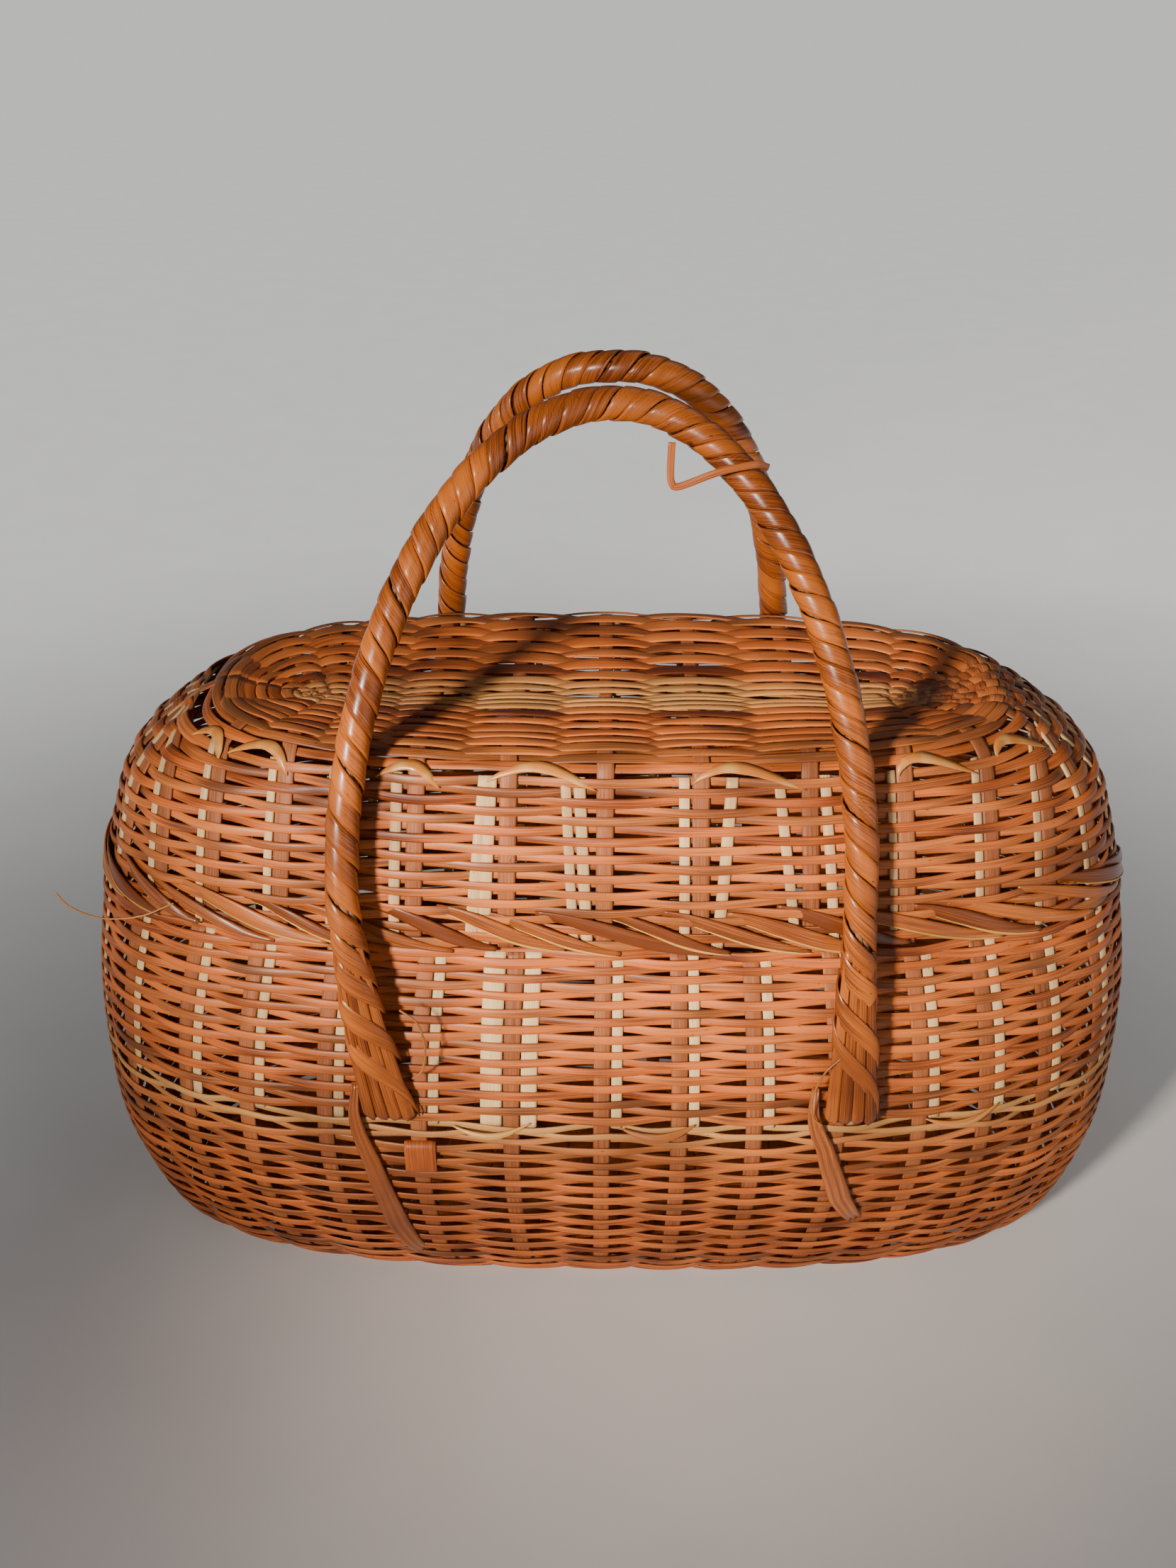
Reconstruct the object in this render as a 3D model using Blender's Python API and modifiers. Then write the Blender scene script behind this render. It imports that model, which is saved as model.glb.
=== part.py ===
"""A long oval market basket of woven splint, with a domed lid and two wrapped hoop handles.

Metres, +Z up. X runs along the basket, the front faces -Y, and the origin is under the middle of
the base, on the surface that the basket stands on.
"""
import math

import bmesh
import bpy
import numpy as np
from mathutils import Matrix, Vector

# Driving sizes of the body and of the lid.
BELLY_HALF_LENGTH = 0.215
BELLY_HALF_WIDTH = 0.102
RIM_HEIGHT = 0.172
LID_HEIGHT = 0.0745
WALL_THICKNESS = 0.0024
BASE_THICKNESS = 0.004
OVAL_EXPONENT = 2.8
GAP = 0.0003

# Outlines, base to rim and rim to spine: half length, half width and height as shares.
BODY_OUTLINE_SHARES = [
    (0.842, 0.645, 0.000),
    (0.924, 0.825, 0.100),
    (0.985, 0.942, 0.304),
    (1.000, 1.000, 0.523),
    (0.996, 0.951, 0.763),
    (0.968, 0.845, 1.000),
]
LID_OUTLINE_SHARES = [
    (1.000, 1.000, 0.000),
    (0.962, 0.997, 0.387),
    (0.914, 0.946, 0.687),
    (0.755, 0.865, 0.990),
    (0.680, 0.470, 0.985),
    (0.574, 0.000, 0.965),
]
LID_SHOULDER_SHARE = 0.93
RIM_HALF_LENGTH = BELLY_HALF_LENGTH * BODY_OUTLINE_SHARES[-1][0]
RIM_HALF_WIDTH = BELLY_HALF_WIDTH * BODY_OUTLINE_SHARES[-1][1]
OVAL_SIDES = 48
OUTLINE_STEPS = 40
LOWER_WALL_ROWS = 7
UPPER_WALL_ROWS = 5
LID_BAND_ROWS = 5
LID_DOME_ROWS = 9
SEAM_MERGE = 0.00001

# The pale weaver between the two weaves of the wall, and the borders at the mouth.
PALE_WEAVER_HEIGHT = 0.1
PALE_WEAVER_WIDTH = 0.004
PALE_WEAVER_PROUD = 0.0004
BODY_RIM_HEIGHT = 0.006
BODY_RIM_THICKNESS = 0.0026
LID_BORDER_HEIGHT = 0.0085
LID_BORDER_THICKNESS = 0.0038
PALE_WEAVER_LOW = PALE_WEAVER_HEIGHT - PALE_WEAVER_WIDTH / 2
PALE_WEAVER_TOP = PALE_WEAVER_HEIGHT + PALE_WEAVER_WIDTH / 2
LID_LOW = RIM_HEIGHT + GAP
SQUARE_SECTION_SHARES = ((0, 0), (1, 0), (1, 1), (0, 1))
ROLLED_SECTION_SHARES = ((0, 0), (0.6, 0), (1, 0.25), (1, 0.6), (0.6, 1), (0, 1))

# The lashing loops that hinge the lid at the back.
LOOP_SPACING = 0.11
LOOP_WIDTH = 0.006
LOOP_THICKNESS = 0.0016
LOOP_RADIUS = 0.0107
LOOP_SIDES = 28
HINGE_CLEARANCE = 0.001

# The hoop handles: a core of rods, a wound splint and flattened feet.
CORE_RADIUS = 0.0045
WRAP_CLEARANCE = 0.0007
WRAP_THICKNESS = 0.0008
WRAP_TURNS = 24
WRAP_WIDTH_SHARE = 0.78
WRAP_LOOP_POINTS = 10
WRAP_CROSS_POINTS = 4
HANDLE_TOP_RISE = 0.1185
HANDLE_TOP_HEIGHT = RIM_HEIGHT + LID_HEIGHT + HANDLE_TOP_RISE
HANDLE_TOP_OFFSET = 0.03
HANDLE_BOW_RISE = 0.028
HANDLE_BOW_HEIGHT = RIM_HEIGHT + HANDLE_BOW_RISE
HANDLE_LEAN_POWER = 2.2
FRONT_HALF_SPANS = (0.098, 0.0905)
REAR_HALF_SPANS = (0.0735, 0.0735)
FRONT_BOW_POWER = 2.0
REAR_BOW_POWER = 2.3
FRONT_FOOT_SHIFTS = (0.0142, 0.002)
REAR_FOOT_SHIFTS = (0.0, 0.0)
FOOT_SHIFT_POWER = 1.3
FOOT_RISE = 0.0025
FOOT_LENGTH = 0.045
FOOT_BOTTOM_HEIGHT = PALE_WEAVER_TOP + FOOT_RISE
FOOT_TOP_HEIGHT = FOOT_BOTTOM_HEIGHT + FOOT_LENGTH
FOOT_TOP_WIDTH = 0.0135
FOOT_BOTTOM_WIDTH = 0.0205
FOOT_THICKNESS = 0.0042
HANDLE_POINTS = 80

# The straps that tie the handles' feet down over the weave, and the clip of one foot.
TIE_WIDTH = 0.006
TIE_THICKNESS = 0.001
TIE_STEPS = 10
TIE_START_REACH = 0.012
TIE_END_REACH = 0.0132
LEFT_TIE_LOW_SHARE = 0.25
RIGHT_TIE_LOW_SHARE = 0.5
CLIP_WIDTH = 0.011
CLIP_HEIGHT = 0.013
CLIP_DROP = 0.011

# The curled ends of the lid's bye-stakes. A place up to 1 is a share of the run between a handle's
# legs, and what is past 1 is a share of the run from the leg to the lid's end.
TUCK_PLACE_SHARES = (-1.66, -1.23, -0.9, -0.33, 0.66, 1.12, 1.71)
TUCK_LENGTH = 0.024
TUCK_WIDTH = 0.0035
TUCK_THICKNESS = 0.0007
TUCK_RISE = 0.004
TUCK_CLEARANCE = 0.0008
TUCK_STEPS = 6

# Colours, as red, green and blue.
SPLINT_RED = (0.42, 0.15, 0.055)
SPLINT_BROWN = (0.33, 0.12, 0.05)
SPLINT_HONEY = (0.52, 0.22, 0.07)
SPLINT_PALE = (0.70, 0.47, 0.24)


def clear_scene():
    """Remove every object of the scene."""
    for thing in list(bpy.data.objects):
        bpy.data.objects.remove(thing, do_unlink=True)


def new_collection(name):
    collection = bpy.data.collections.new(name)
    bpy.context.scene.collection.children.link(collection)
    return collection


def splint_material(name, colour, roughness):
    """Plain splint: the part's colour with a dull or glossy face."""
    material = bpy.data.materials.new(name)
    material.use_nodes = True
    shader = material.node_tree.nodes["Principled BSDF"]
    shader.inputs["Base Color"].default_value = (*colour, 1.0)
    shader.inputs["Roughness"].default_value = roughness
    shader.inputs["Metallic"].default_value = 0.0
    return material


def add_object(name, data, collection, colour, roughness):
    thing = bpy.data.objects.new(name, data)
    collection.objects.link(thing)
    data.materials.append(splint_material(name + "_splint", colour, roughness))
    return thing


def smooth_outline(shares, steps):
    """Points on a Catmull-Rom curve through the outline's shares, evenly stepped from first to last."""
    knots = np.array(shares)
    knots = np.vstack([2 * knots[0] - knots[1], knots, 2 * knots[-1] - knots[-2]])
    places = np.linspace(0, len(shares) - 1, steps + 1)
    first = np.minimum(places.astype(int), len(shares) - 2)
    t = (places - first)[:, None]
    p0, p1, p2, p3 = (knots[first + shift] for shift in range(4))
    return 0.5 * (2 * p1 + (p2 - p0) * t + (2 * p0 - 5 * p1 + 4 * p2 - p3) * t ** 2
                  + (3 * p1 - p0 - 3 * p2 + p3) * t ** 3)


def body_outline():
    """Half length, half width and height from the base's edge up to the rim."""
    return smooth_outline(BODY_OUTLINE_SHARES, OUTLINE_STEPS) * (
        BELLY_HALF_LENGTH, BELLY_HALF_WIDTH, RIM_HEIGHT)


def lid_outline():
    """Half length, half width and height from the lid's mouth up to its spine."""
    return smooth_outline(LID_OUTLINE_SHARES, OUTLINE_STEPS) * (
        RIM_HALF_LENGTH, RIM_HALF_WIDTH, LID_HEIGHT) + (0, 0, LID_LOW)


def oval(half_length, half_width, angles):
    """Points of a superellipse: x = a |cos|^(2/n), y = b |sin|^(2/n), with the signs of cos and sin."""
    power = 2 / OVAL_EXPONENT
    x = half_length * np.sign(np.cos(angles)) * np.abs(np.cos(angles)) ** power
    y = half_width * np.sign(np.sin(angles)) * np.abs(np.sin(angles)) ** power
    return x, y


def even_angles(count):
    """Angles whose points lie evenly along the belly's oval."""
    fine = np.linspace(0, 2 * math.pi, count * count + 1)
    x, y = oval(BELLY_HALF_LENGTH, BELLY_HALF_WIDTH, fine)
    run = np.concatenate([[0], np.cumsum(np.hypot(np.diff(x), np.diff(y)))])
    return np.interp(np.arange(count) / count * run[-1], run, fine)


OVAL_ANGLES = even_angles(OVAL_SIDES)


def ring_at(half_length, half_width, height):
    x, y = oval(half_length, half_width, OVAL_ANGLES)
    return np.stack([x, y, np.full_like(x, height)], axis=1)


def surface(name, rows, closed_rows, closed_columns=False):
    """Mesh through a grid of points. A row closes on itself, and so do the columns, where told."""
    rows = np.array(rows)
    count, width = rows.shape[:2]
    mesh = bpy.data.meshes.new(name)
    shape = bmesh.new()
    points = [[shape.verts.new(p) for p in row] for row in rows]
    for i in range(count if closed_columns else count - 1):
        for j in range(width if closed_rows else width - 1):
            k = (i + 1) % count
            m = (j + 1) % width
            shape.faces.new((points[i][j], points[i][m], points[k][m], points[k][j]))
    bmesh.ops.remove_doubles(shape, verts=shape.verts, dist=SEAM_MERGE)
    shape.to_mesh(mesh)
    shape.free()
    mesh.shade_smooth()
    return mesh


def thicken(thing, thickness, offset):
    wall = thing.modifiers.new("wall", "SOLIDIFY")
    wall.thickness = thickness
    wall.offset = offset
    wall.use_even_offset = True


def outline_run(outline):
    """How far each point of an outline lies along it, in the plane across the basket."""
    return np.concatenate([[0], np.cumsum(np.linalg.norm(np.diff(outline[:, 1:], axis=0), axis=1))])


def outline_at(outline, share):
    """Half length, half width and height at a share of the outline's run."""
    run = outline_run(outline)
    return [float(np.interp(share * run[-1], run, outline[:, axis])) for axis in range(3)]


def run_share_at(outline, height):
    """The share of the outline's run at which it first reaches a height."""
    run = outline_run(outline)
    peak = int(np.argmax(outline[:, 2])) + 1
    return float(np.interp(height, outline[:peak, 2], run[:peak]) / run[-1])


def body_size_at(height):
    """Half length and half width of the body's outer face at a height."""
    outline = body_outline()
    return (float(np.interp(height, outline[:, 2], outline[:, 0])),
            float(np.interp(height, outline[:, 2], outline[:, 1])))


def wall_depth(x, height):
    """How far the body's front face lies from the middle plane, at a place along X and a height."""
    half_length, half_width = body_size_at(height)
    return half_width * (1 - abs(x / half_length) ** OVAL_EXPONENT) ** (1 / OVAL_EXPONENT)


def on_wall(x, height, gap):
    """Point in front of the body's front face, at a gap along the face's own normal."""
    step = GAP
    depth = wall_depth(x, height)
    slope_x = (wall_depth(x + step, height) - wall_depth(x - step, height)) / (2 * step)
    slope_z = (wall_depth(x, height + step) - wall_depth(x, height - step)) / (2 * step)
    normal = Vector((-slope_x, -1, -slope_z)).normalized()
    return Vector((x, -depth, height)) + normal * gap


def cut(thing, cutter):
    """Take a cutter's shape out of a thing."""
    hole = thing.modifiers.new("hole", "BOOLEAN")
    hole.operation = "DIFFERENCE"
    hole.solver = "EXACT"
    hole.object = cutter


def box_cutter(name, low, high, cutters):
    """A guide box between two corners, out of sight."""
    shape = bmesh.new()
    bmesh.ops.create_cube(shape, size=1.0)
    low = Vector(low)
    high = Vector(high)
    size = high - low
    bmesh.ops.scale(shape, vec=size, verts=shape.verts)
    mesh = bpy.data.meshes.new(name)
    shape.to_mesh(mesh)
    shape.free()
    cutter = bpy.data.objects.new(name, mesh)
    cutter.location = (low + high) / 2
    cutter.hide_render = True
    cutter.display_type = "WIRE"
    cutters.objects.link(cutter)
    return cutter


def hinge_axis():
    """The line about which the lid turns: behind both borders, between their faces."""
    return RIM_HALF_WIDTH + GAP + LID_BORDER_THICKNESS + HINGE_CLEARANCE, RIM_HEIGHT + GAP / 2


def inner_outline(outline):
    """The outline moved in by the wall's thickness, square to its own run. At the spine it stays there."""
    ahead = np.gradient(outline[:, 1:], axis=0)
    ahead /= np.linalg.norm(ahead, axis=1, keepdims=True)
    inner = outline.copy()
    inner[:, 0] -= WALL_THICKNESS * ahead[:, 1]
    inner[:, 1] -= WALL_THICKNESS * ahead[:, 1]
    inner[:, 2] += WALL_THICKNESS * ahead[:, 0]
    inner[outline[:, 1] < SEAM_MERGE, 1] = 0
    return inner


def make_base(outline, parts):
    """The flat woven bottom, a flat outline of its own thickness, just inside the wall's lower edge."""
    half_length, half_width = inner_outline(outline)[0, :2] - GAP
    curve = bpy.data.curves.new("base_pad", "CURVE")
    curve.dimensions = "2D"
    curve.fill_mode = "BOTH"
    curve.extrude = BASE_THICKNESS / 2
    spline = curve.splines.new("POLY")
    x, y = oval(half_length, half_width, OVAL_ANGLES)
    spline.points.add(len(x) - 1)
    for point, px, py in zip(spline.points, x, y):
        point.co = (px, py, 0, 1)
    spline.use_cyclic_u = True
    base = add_object("base_pad", curve, parts, SPLINT_RED, 0.6)
    base.location.z = BASE_THICKNESS / 2


def make_shell(name, outline, low, high, rows, parts, colour):
    """A woven wall between two shares of the outline's run: its inner face, then its outer face."""
    run = outline_run(outline)
    places = np.linspace(low * run[-1], high * run[-1], rows)
    outer = np.stack([np.interp(places, run, outline[:, axis]) for axis in range(3)], axis=1)
    inner = inner_outline(outline)
    inner = np.stack([np.interp(places, run, inner[:, axis]) for axis in range(3)], axis=1)
    rings = [ring_at(*row) for row in np.vstack([inner[::-1], outer])]
    meets_spine = outer[-1, 1] < SEAM_MERGE
    return add_object(name, surface(name, rings, True, not meets_spine), parts, colour, 0.5)


def make_hoop(name, outline, low, high, inner, outer, section_shares, parts, colour, roughness):
    """A hoop round a wall: a section, out from inner to outer and up from low to high, along the oval."""
    rings = []
    for share_out, share_up in section_shares:
        height = low + (high - low) * share_up
        half_length = float(np.interp(height, outline[:, 2], outline[:, 0]))
        half_width = float(np.interp(height, outline[:, 2], outline[:, 1]))
        out = inner + (outer - inner) * share_out
        rings.append(ring_at(half_length + out, half_width + out, height))
    return add_object(name, surface(name, rings, True, True), parts, colour, roughness)


def make_loop(name, x, parts):
    """A lashing loop: a flat ring about the hinge's axis, through the wall and through the lid."""
    depth, height = hinge_axis()
    rings = []
    outer = LOOP_RADIUS + LOOP_THICKNESS
    for side, radius in ((-1, LOOP_RADIUS), (-1, outer), (1, outer), (1, LOOP_RADIUS)):
        turn = np.arange(LOOP_SIDES) * 2 * math.pi / LOOP_SIDES
        rings.append(np.stack([np.full_like(turn, x + side * LOOP_WIDTH / 2),
                               depth + radius * np.cos(turn), height + radius * np.sin(turn)], axis=1))
    add_object(name, surface(name, rings, True, True), parts, SPLINT_BROWN, 0.45)


def cut_loop_slots(wall, lid_band, cutters):
    """Slots where the lashing loops pass through the wall and through the lid's band."""
    depth, height = hinge_axis()
    clear = LOOP_WIDTH / 2 + GAP
    inside = RIM_HALF_WIDTH - WALL_THICKNESS * 2
    low = math.sqrt((LOOP_RADIUS - GAP) ** 2 - (depth - inside) ** 2)
    high = LOOP_RADIUS + LOOP_THICKNESS + GAP
    for side, label in ((-1, "left"), (1, "right")):
        x = side * LOOP_SPACING / 2
        for thing, down in ((wall, -1), (lid_band, 1)):
            edges = sorted((height + down * low, height + down * high))
            cutter = box_cutter(f"{label}_{thing.name}_slot", (x - clear, inside, edges[0]),
                                (x + clear, depth, edges[1]), cutters)
            cut(thing, cutter)


def handle_path(half_spans, bow_power, foot_shifts, count):
    """Middle line of a front handle, from the left foot over the top to the right foot.

    The half spans and the shifts are those of the left and of the right leg. Each leg rises from its
    foot to the bow's height, and moves aside as a power of how far it has come down to the foot's end.
    The bow is half a superellipse over that height. The whole leans in over the lid as the height's
    share raised to a power.
    """
    rise = HANDLE_TOP_HEIGHT - HANDLE_BOW_HEIGHT
    turn = np.linspace(math.pi, 0, count)
    power = 2 / bow_power
    reach = np.where(np.cos(turn) < 0, *half_spans)
    bow_x = reach * np.sign(np.cos(turn)) * np.abs(np.cos(turn)) ** power
    bow_z = HANDLE_BOW_HEIGHT + rise * np.abs(np.sin(turn)) ** power
    drop = np.linspace(0, 1, count)[1:]
    leg_z = HANDLE_BOW_HEIGHT - drop * (HANDLE_BOW_HEIGHT - FOOT_TOP_HEIGHT)
    moved = ((HANDLE_BOW_HEIGHT - leg_z) / (HANDLE_BOW_HEIGHT - FOOT_BOTTOM_HEIGHT)) ** FOOT_SHIFT_POWER
    left_x = -half_spans[0] + moved * foot_shifts[0]
    right_x = half_spans[1] + moved * foot_shifts[1]
    x = np.concatenate([left_x[::-1], bow_x, right_x])
    z = np.concatenate([leg_z[::-1], bow_z, leg_z])
    foot = foot_depth(half_spans)
    lean = ((z - FOOT_BOTTOM_HEIGHT) / (HANDLE_TOP_HEIGHT - FOOT_BOTTOM_HEIGHT)) ** HANDLE_LEAN_POWER
    y = -(foot + (HANDLE_TOP_OFFSET - foot) * lean)
    points = np.stack([x, y, z], axis=1)
    run = np.concatenate([[0], np.cumsum(np.linalg.norm(np.diff(points, axis=0), axis=1))])
    places = np.linspace(0, run[-1], count)
    return np.stack([np.interp(places, run, points[:, axis]) for axis in range(3)], axis=1)


def foot_back(half_spans):
    """How far the back of a handle's feet lies from the middle plane: just clear of the pale weaver."""
    near = min(half_spans) - FOOT_BOTTOM_WIDTH / 2
    return wall_depth(near, FOOT_BOTTOM_HEIGHT) + PALE_WEAVER_PROUD + GAP


def foot_depth(half_spans):
    return foot_back(half_spans) + FOOT_THICKNESS / 2


def make_core(name, path, turn, parts, parent):
    """The bundle of rods inside a handle, as one round bar."""
    curve = bpy.data.curves.new(name, "CURVE")
    curve.dimensions = "3D"
    curve.bevel_depth = CORE_RADIUS
    curve.bevel_resolution = 1
    curve.use_fill_caps = True
    spline = curve.splines.new("POLY")
    spline.points.add(len(path) - 1)
    for point, place in zip(spline.points, path):
        point.co = (*place, 1)
    core = add_object(name, curve, parts, SPLINT_PALE, 0.6)
    place_on(core, turn, parent)


def wrap_rows(path):
    """Rows of points across the wound splint, one row for each step of its helix.

    The splint's middle advances evenly along the handle as it turns to the left of its way up, its
    width lies along the handle, and its inner face keeps one radius from the middle line.
    """
    run = np.concatenate([[0], np.cumsum(np.linalg.norm(np.diff(path, axis=0), axis=1))])
    length = run[-1]
    pitch = length / (WRAP_TURNS + WRAP_WIDTH_SHARE)
    width = pitch * WRAP_WIDTH_SHARE
    steps = WRAP_TURNS * WRAP_LOOP_POINTS
    turn = np.linspace(0, -WRAP_TURNS * 2 * math.pi, steps + 1)
    middle = width / 2 - pitch * turn / (2 * math.pi)
    across = np.linspace(width / 2, -width / 2, WRAP_CROSS_POINTS)
    places = np.clip(middle[:, None] + across[None, :], 0, length)
    tangents = np.gradient(path, run, axis=0)
    centre = np.stack([np.interp(places, run, path[:, axis]) for axis in range(3)], axis=2)
    ahead = np.stack([np.interp(places, run, tangents[:, axis]) for axis in range(3)], axis=2)
    ahead /= np.linalg.norm(ahead, axis=2, keepdims=True)
    aside = np.cross(ahead, (0.0, 1.0, 0.0))
    aside /= np.linalg.norm(aside, axis=2, keepdims=True)
    over = np.cross(ahead, aside)
    radius = CORE_RADIUS + WRAP_CLEARANCE
    rows = centre + radius * (np.cos(turn)[:, None, None] * aside + np.sin(turn)[:, None, None] * over)
    return rows, pitch, width


def least_gap(rows):
    """Least distance between the splint's upper edge and the lower edge of its next turn."""
    gaps = []
    for shift in range(WRAP_LOOP_POINTS - 1, WRAP_LOOP_POINTS + 2):
        after = rows[shift:, -1]
        before = rows[:len(after), 0]
        gaps.append(float(np.linalg.norm(after - before, axis=1).min()))
    return min(gaps)


def make_wrap(name, path, turn, parts, parent, colour):
    """The flat splint wound round a handle's core."""
    rows, pitch, width = wrap_rows(path)
    print(f"{name}: pitch {pitch:.4f}, width {width:.4f}, least gap to itself {least_gap(rows):.4f}")
    wrap = add_object(name, surface(name, rows, closed_rows=False), parts, colour, 0.3)
    thicken(wrap, WRAP_THICKNESS, -1)
    place_on(wrap, turn, parent)


def place_on(thing, turn, parent):
    """Give a piece drawn at the front its place, turned half round for the back, on its handle's pivot."""
    thing.parent = parent
    thing.matrix_parent_inverse = parent.matrix_world.inverted()
    thing.matrix_world = turn


def leg_dip(end, after):
    """How far a leaning leg's lower edge hangs below its middle line's end."""
    ahead = after - end
    reach = CORE_RADIUS + WRAP_CLEARANCE + WRAP_THICKNESS
    return reach * float(np.hypot(ahead[0], ahead[1]) / np.linalg.norm(ahead))


def make_foot(name, end, after, toe_x, half_spans, turn, parts, parent):
    """The flattened foot of a handle: a flat outline that widens and slants down to the weave."""
    curve = bpy.data.curves.new(name, "CURVE")
    curve.dimensions = "2D"
    curve.fill_mode = "BOTH"
    curve.extrude = FOOT_THICKNESS / 2
    spline = curve.splines.new("POLY")
    top = FOOT_TOP_HEIGHT - GAP - leg_dip(end, after)
    toe = toe_x - end[0]
    outline = [(toe - FOOT_BOTTOM_WIDTH / 2, FOOT_BOTTOM_HEIGHT),
               (toe + FOOT_BOTTOM_WIDTH / 2, FOOT_BOTTOM_HEIGHT),
               (FOOT_TOP_WIDTH / 2, top), (-FOOT_TOP_WIDTH / 2, top)]
    spline.points.add(len(outline) - 1)
    for point, (across, up) in zip(spline.points, outline):
        point.co = (across, up, 0, 1)
    spline.use_cyclic_u = True
    foot = add_object(name, curve, parts, SPLINT_HONEY, 0.4)
    stand = Matrix.Translation((end[0], -foot_depth(half_spans), 0)) @ Matrix.Rotation(math.pi / 2, 4, "X")
    place_on(foot, turn @ stand, parent)


def make_strap(name, start, end, width, turn, parts, colour):
    """A flat splint laid on the body's front face, from one place to another, (x, height) each."""
    start = Vector(start)
    end = Vector(end)
    aside = Vector((end.y - start.y, start.x - end.x)).normalized() * width / 2
    rows = []
    for step in range(TIE_STEPS + 1):
        middle = start.lerp(end, step / TIE_STEPS)
        rows.append([on_wall(middle.x + side * aside.x, middle.y + side * aside.y, GAP)
                     for side in (-1, 0, 1)])
    strap = add_object(name, surface(name, rows, closed_rows=False), parts, colour, 0.45)
    strap.matrix_world = turn
    thicken(strap, TIE_THICKNESS, 1)


def tuck_x(place_share, half_spans, half_length):
    """Where a bye-stake's end lies along the lid, clear of the handle's leg on its side."""
    half_span = half_spans[0] if place_share < 0 else half_spans[1]
    room = CORE_RADIUS + WRAP_CLEARANCE + WRAP_THICKNESS + TUCK_LENGTH / 2
    between = min(abs(place_share), 1) * (half_span - room)
    beyond = 0
    if abs(place_share) > 1:
        beyond = 2 * room + (abs(place_share) - 1) * (half_length - half_span - room)
    return math.copysign(between + beyond, place_share)


def make_tuck(name, place_share, half_spans, outline, shoulder, turn, parts):
    """The pointed end of a bye-stake, which follows the lid's shoulder and arches out in its middle."""
    half_length, half_width, height = outline_at(outline, shoulder)
    x_share = tuck_x(place_share, half_spans, half_length) / half_length
    middle = math.acos(math.copysign(abs(x_share) ** (OVAL_EXPONENT / 2), x_share))
    step = math.pi / OVAL_SIDES ** 2
    x, y = oval(half_length, half_width, np.array([-middle - step, -middle + step]))
    turn_for_length = 2 * step / math.hypot(float(x[1] - x[0]), float(y[1] - y[0]))
    shares = np.linspace(0, 1, TUCK_STEPS + 1)
    angles = -middle + (shares - 0.5) * TUCK_LENGTH * turn_for_length
    rows = []
    for share, angle in zip(shares, angles):
        x, y = oval(half_length, half_width, np.array([angle - step, angle, angle + step]))
        out = Vector((float(y[2] - y[0]), float(x[0] - x[2]), 0)).normalized()
        rise = math.sin(math.pi * share)
        spread = TUCK_WIDTH / 2 * (rise + (1 - rise) / TUCK_STEPS)
        place = Vector((float(x[1]), float(y[1]), height)) + out * (TUCK_CLEARANCE + TUCK_RISE * rise)
        rows.append([place + Vector((0, 0, side * spread)) for side in (-1, 1)])
    tuck = add_object(name, surface(name, rows, closed_rows=False), parts, SPLINT_HONEY, 0.45)
    tuck.matrix_world = turn
    thicken(tuck, TUCK_THICKNESS, -1)


def make_handle(side, half_spans, bow_power, foot_shifts, turn, parts, colour):
    """One hoop handle with its feet, on an empty at its pivot. Gives back where its feet end, by x."""
    pivot = bpy.data.objects.new(f"{side}_handle_pivot", None)
    parts.objects.link(pivot)
    pivot.matrix_world = turn @ Matrix.Translation((0, -foot_back(half_spans), FOOT_BOTTOM_HEIGHT))
    path = handle_path(half_spans, bow_power, foot_shifts, HANDLE_POINTS)
    make_core(f"{side}_handle_core", path, turn, parts, pivot)
    make_wrap(f"{side}_handle_wrap", path, turn, parts, pivot, colour)
    toes = (foot_shifts[0] - half_spans[0], foot_shifts[1] + half_spans[1])
    ends = (("left", path[0], path[1], toes[0]), ("right", path[-1], path[-2], toes[1]))
    for label, end, after, toe_x in ends:
        make_foot(f"{side}_{label}_foot", end, after, toe_x, half_spans, turn, parts, pivot)
    return toes


def make_ties(side, toes, turn, parts):
    """The slanting straps that hold the feet: from beside each foot down and across the lower weave."""
    left_x, right_x = toes
    tie_top = PALE_WEAVER_LOW - PALE_WEAVER_WIDTH / 2
    left_start = (left_x - TIE_START_REACH, tie_top)
    left_end = (left_x + TIE_END_REACH, tie_top * LEFT_TIE_LOW_SHARE)
    right_start = (right_x - TIE_START_REACH, tie_top)
    right_end = (right_x + TIE_END_REACH, tie_top * RIGHT_TIE_LOW_SHARE)
    make_strap(f"{side}_left_tie", left_start, left_end, TIE_WIDTH, turn, parts, SPLINT_BROWN)
    make_strap(f"{side}_right_tie", right_start, right_end, TIE_WIDTH, turn, parts, SPLINT_BROWN)


clear_scene()
basket_parts = new_collection("lidded_market_basket")
basket_cutters = new_collection("cutters")

body = body_outline()
lid = lid_outline()
weaver_low = run_share_at(body, PALE_WEAVER_LOW)
weaver_high = run_share_at(body, PALE_WEAVER_TOP)
weaver_edge_share = GAP / outline_run(body)[-1]
shoulder_edge_share = GAP / outline_run(lid)[-1]
shoulder_share = run_share_at(lid, LID_LOW + LID_HEIGHT * LID_SHOULDER_SHARE)

make_base(body, basket_parts)
make_shell("lower_wall", body, 0, weaver_low - weaver_edge_share, LOWER_WALL_ROWS, basket_parts, SPLINT_RED)
upper_wall = make_shell("upper_wall", body, weaver_high + weaver_edge_share, 1, UPPER_WALL_ROWS,
                        basket_parts, SPLINT_RED)
make_hoop("pale_weaver", body, PALE_WEAVER_LOW, PALE_WEAVER_TOP, -WALL_THICKNESS, PALE_WEAVER_PROUD,
          SQUARE_SECTION_SHARES, basket_parts, SPLINT_PALE, 0.6)
make_hoop("body_rim", body, RIM_HEIGHT - BODY_RIM_HEIGHT, RIM_HEIGHT, GAP, GAP + BODY_RIM_THICKNESS,
          SQUARE_SECTION_SHARES, basket_parts, SPLINT_BROWN, 0.4)

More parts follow.
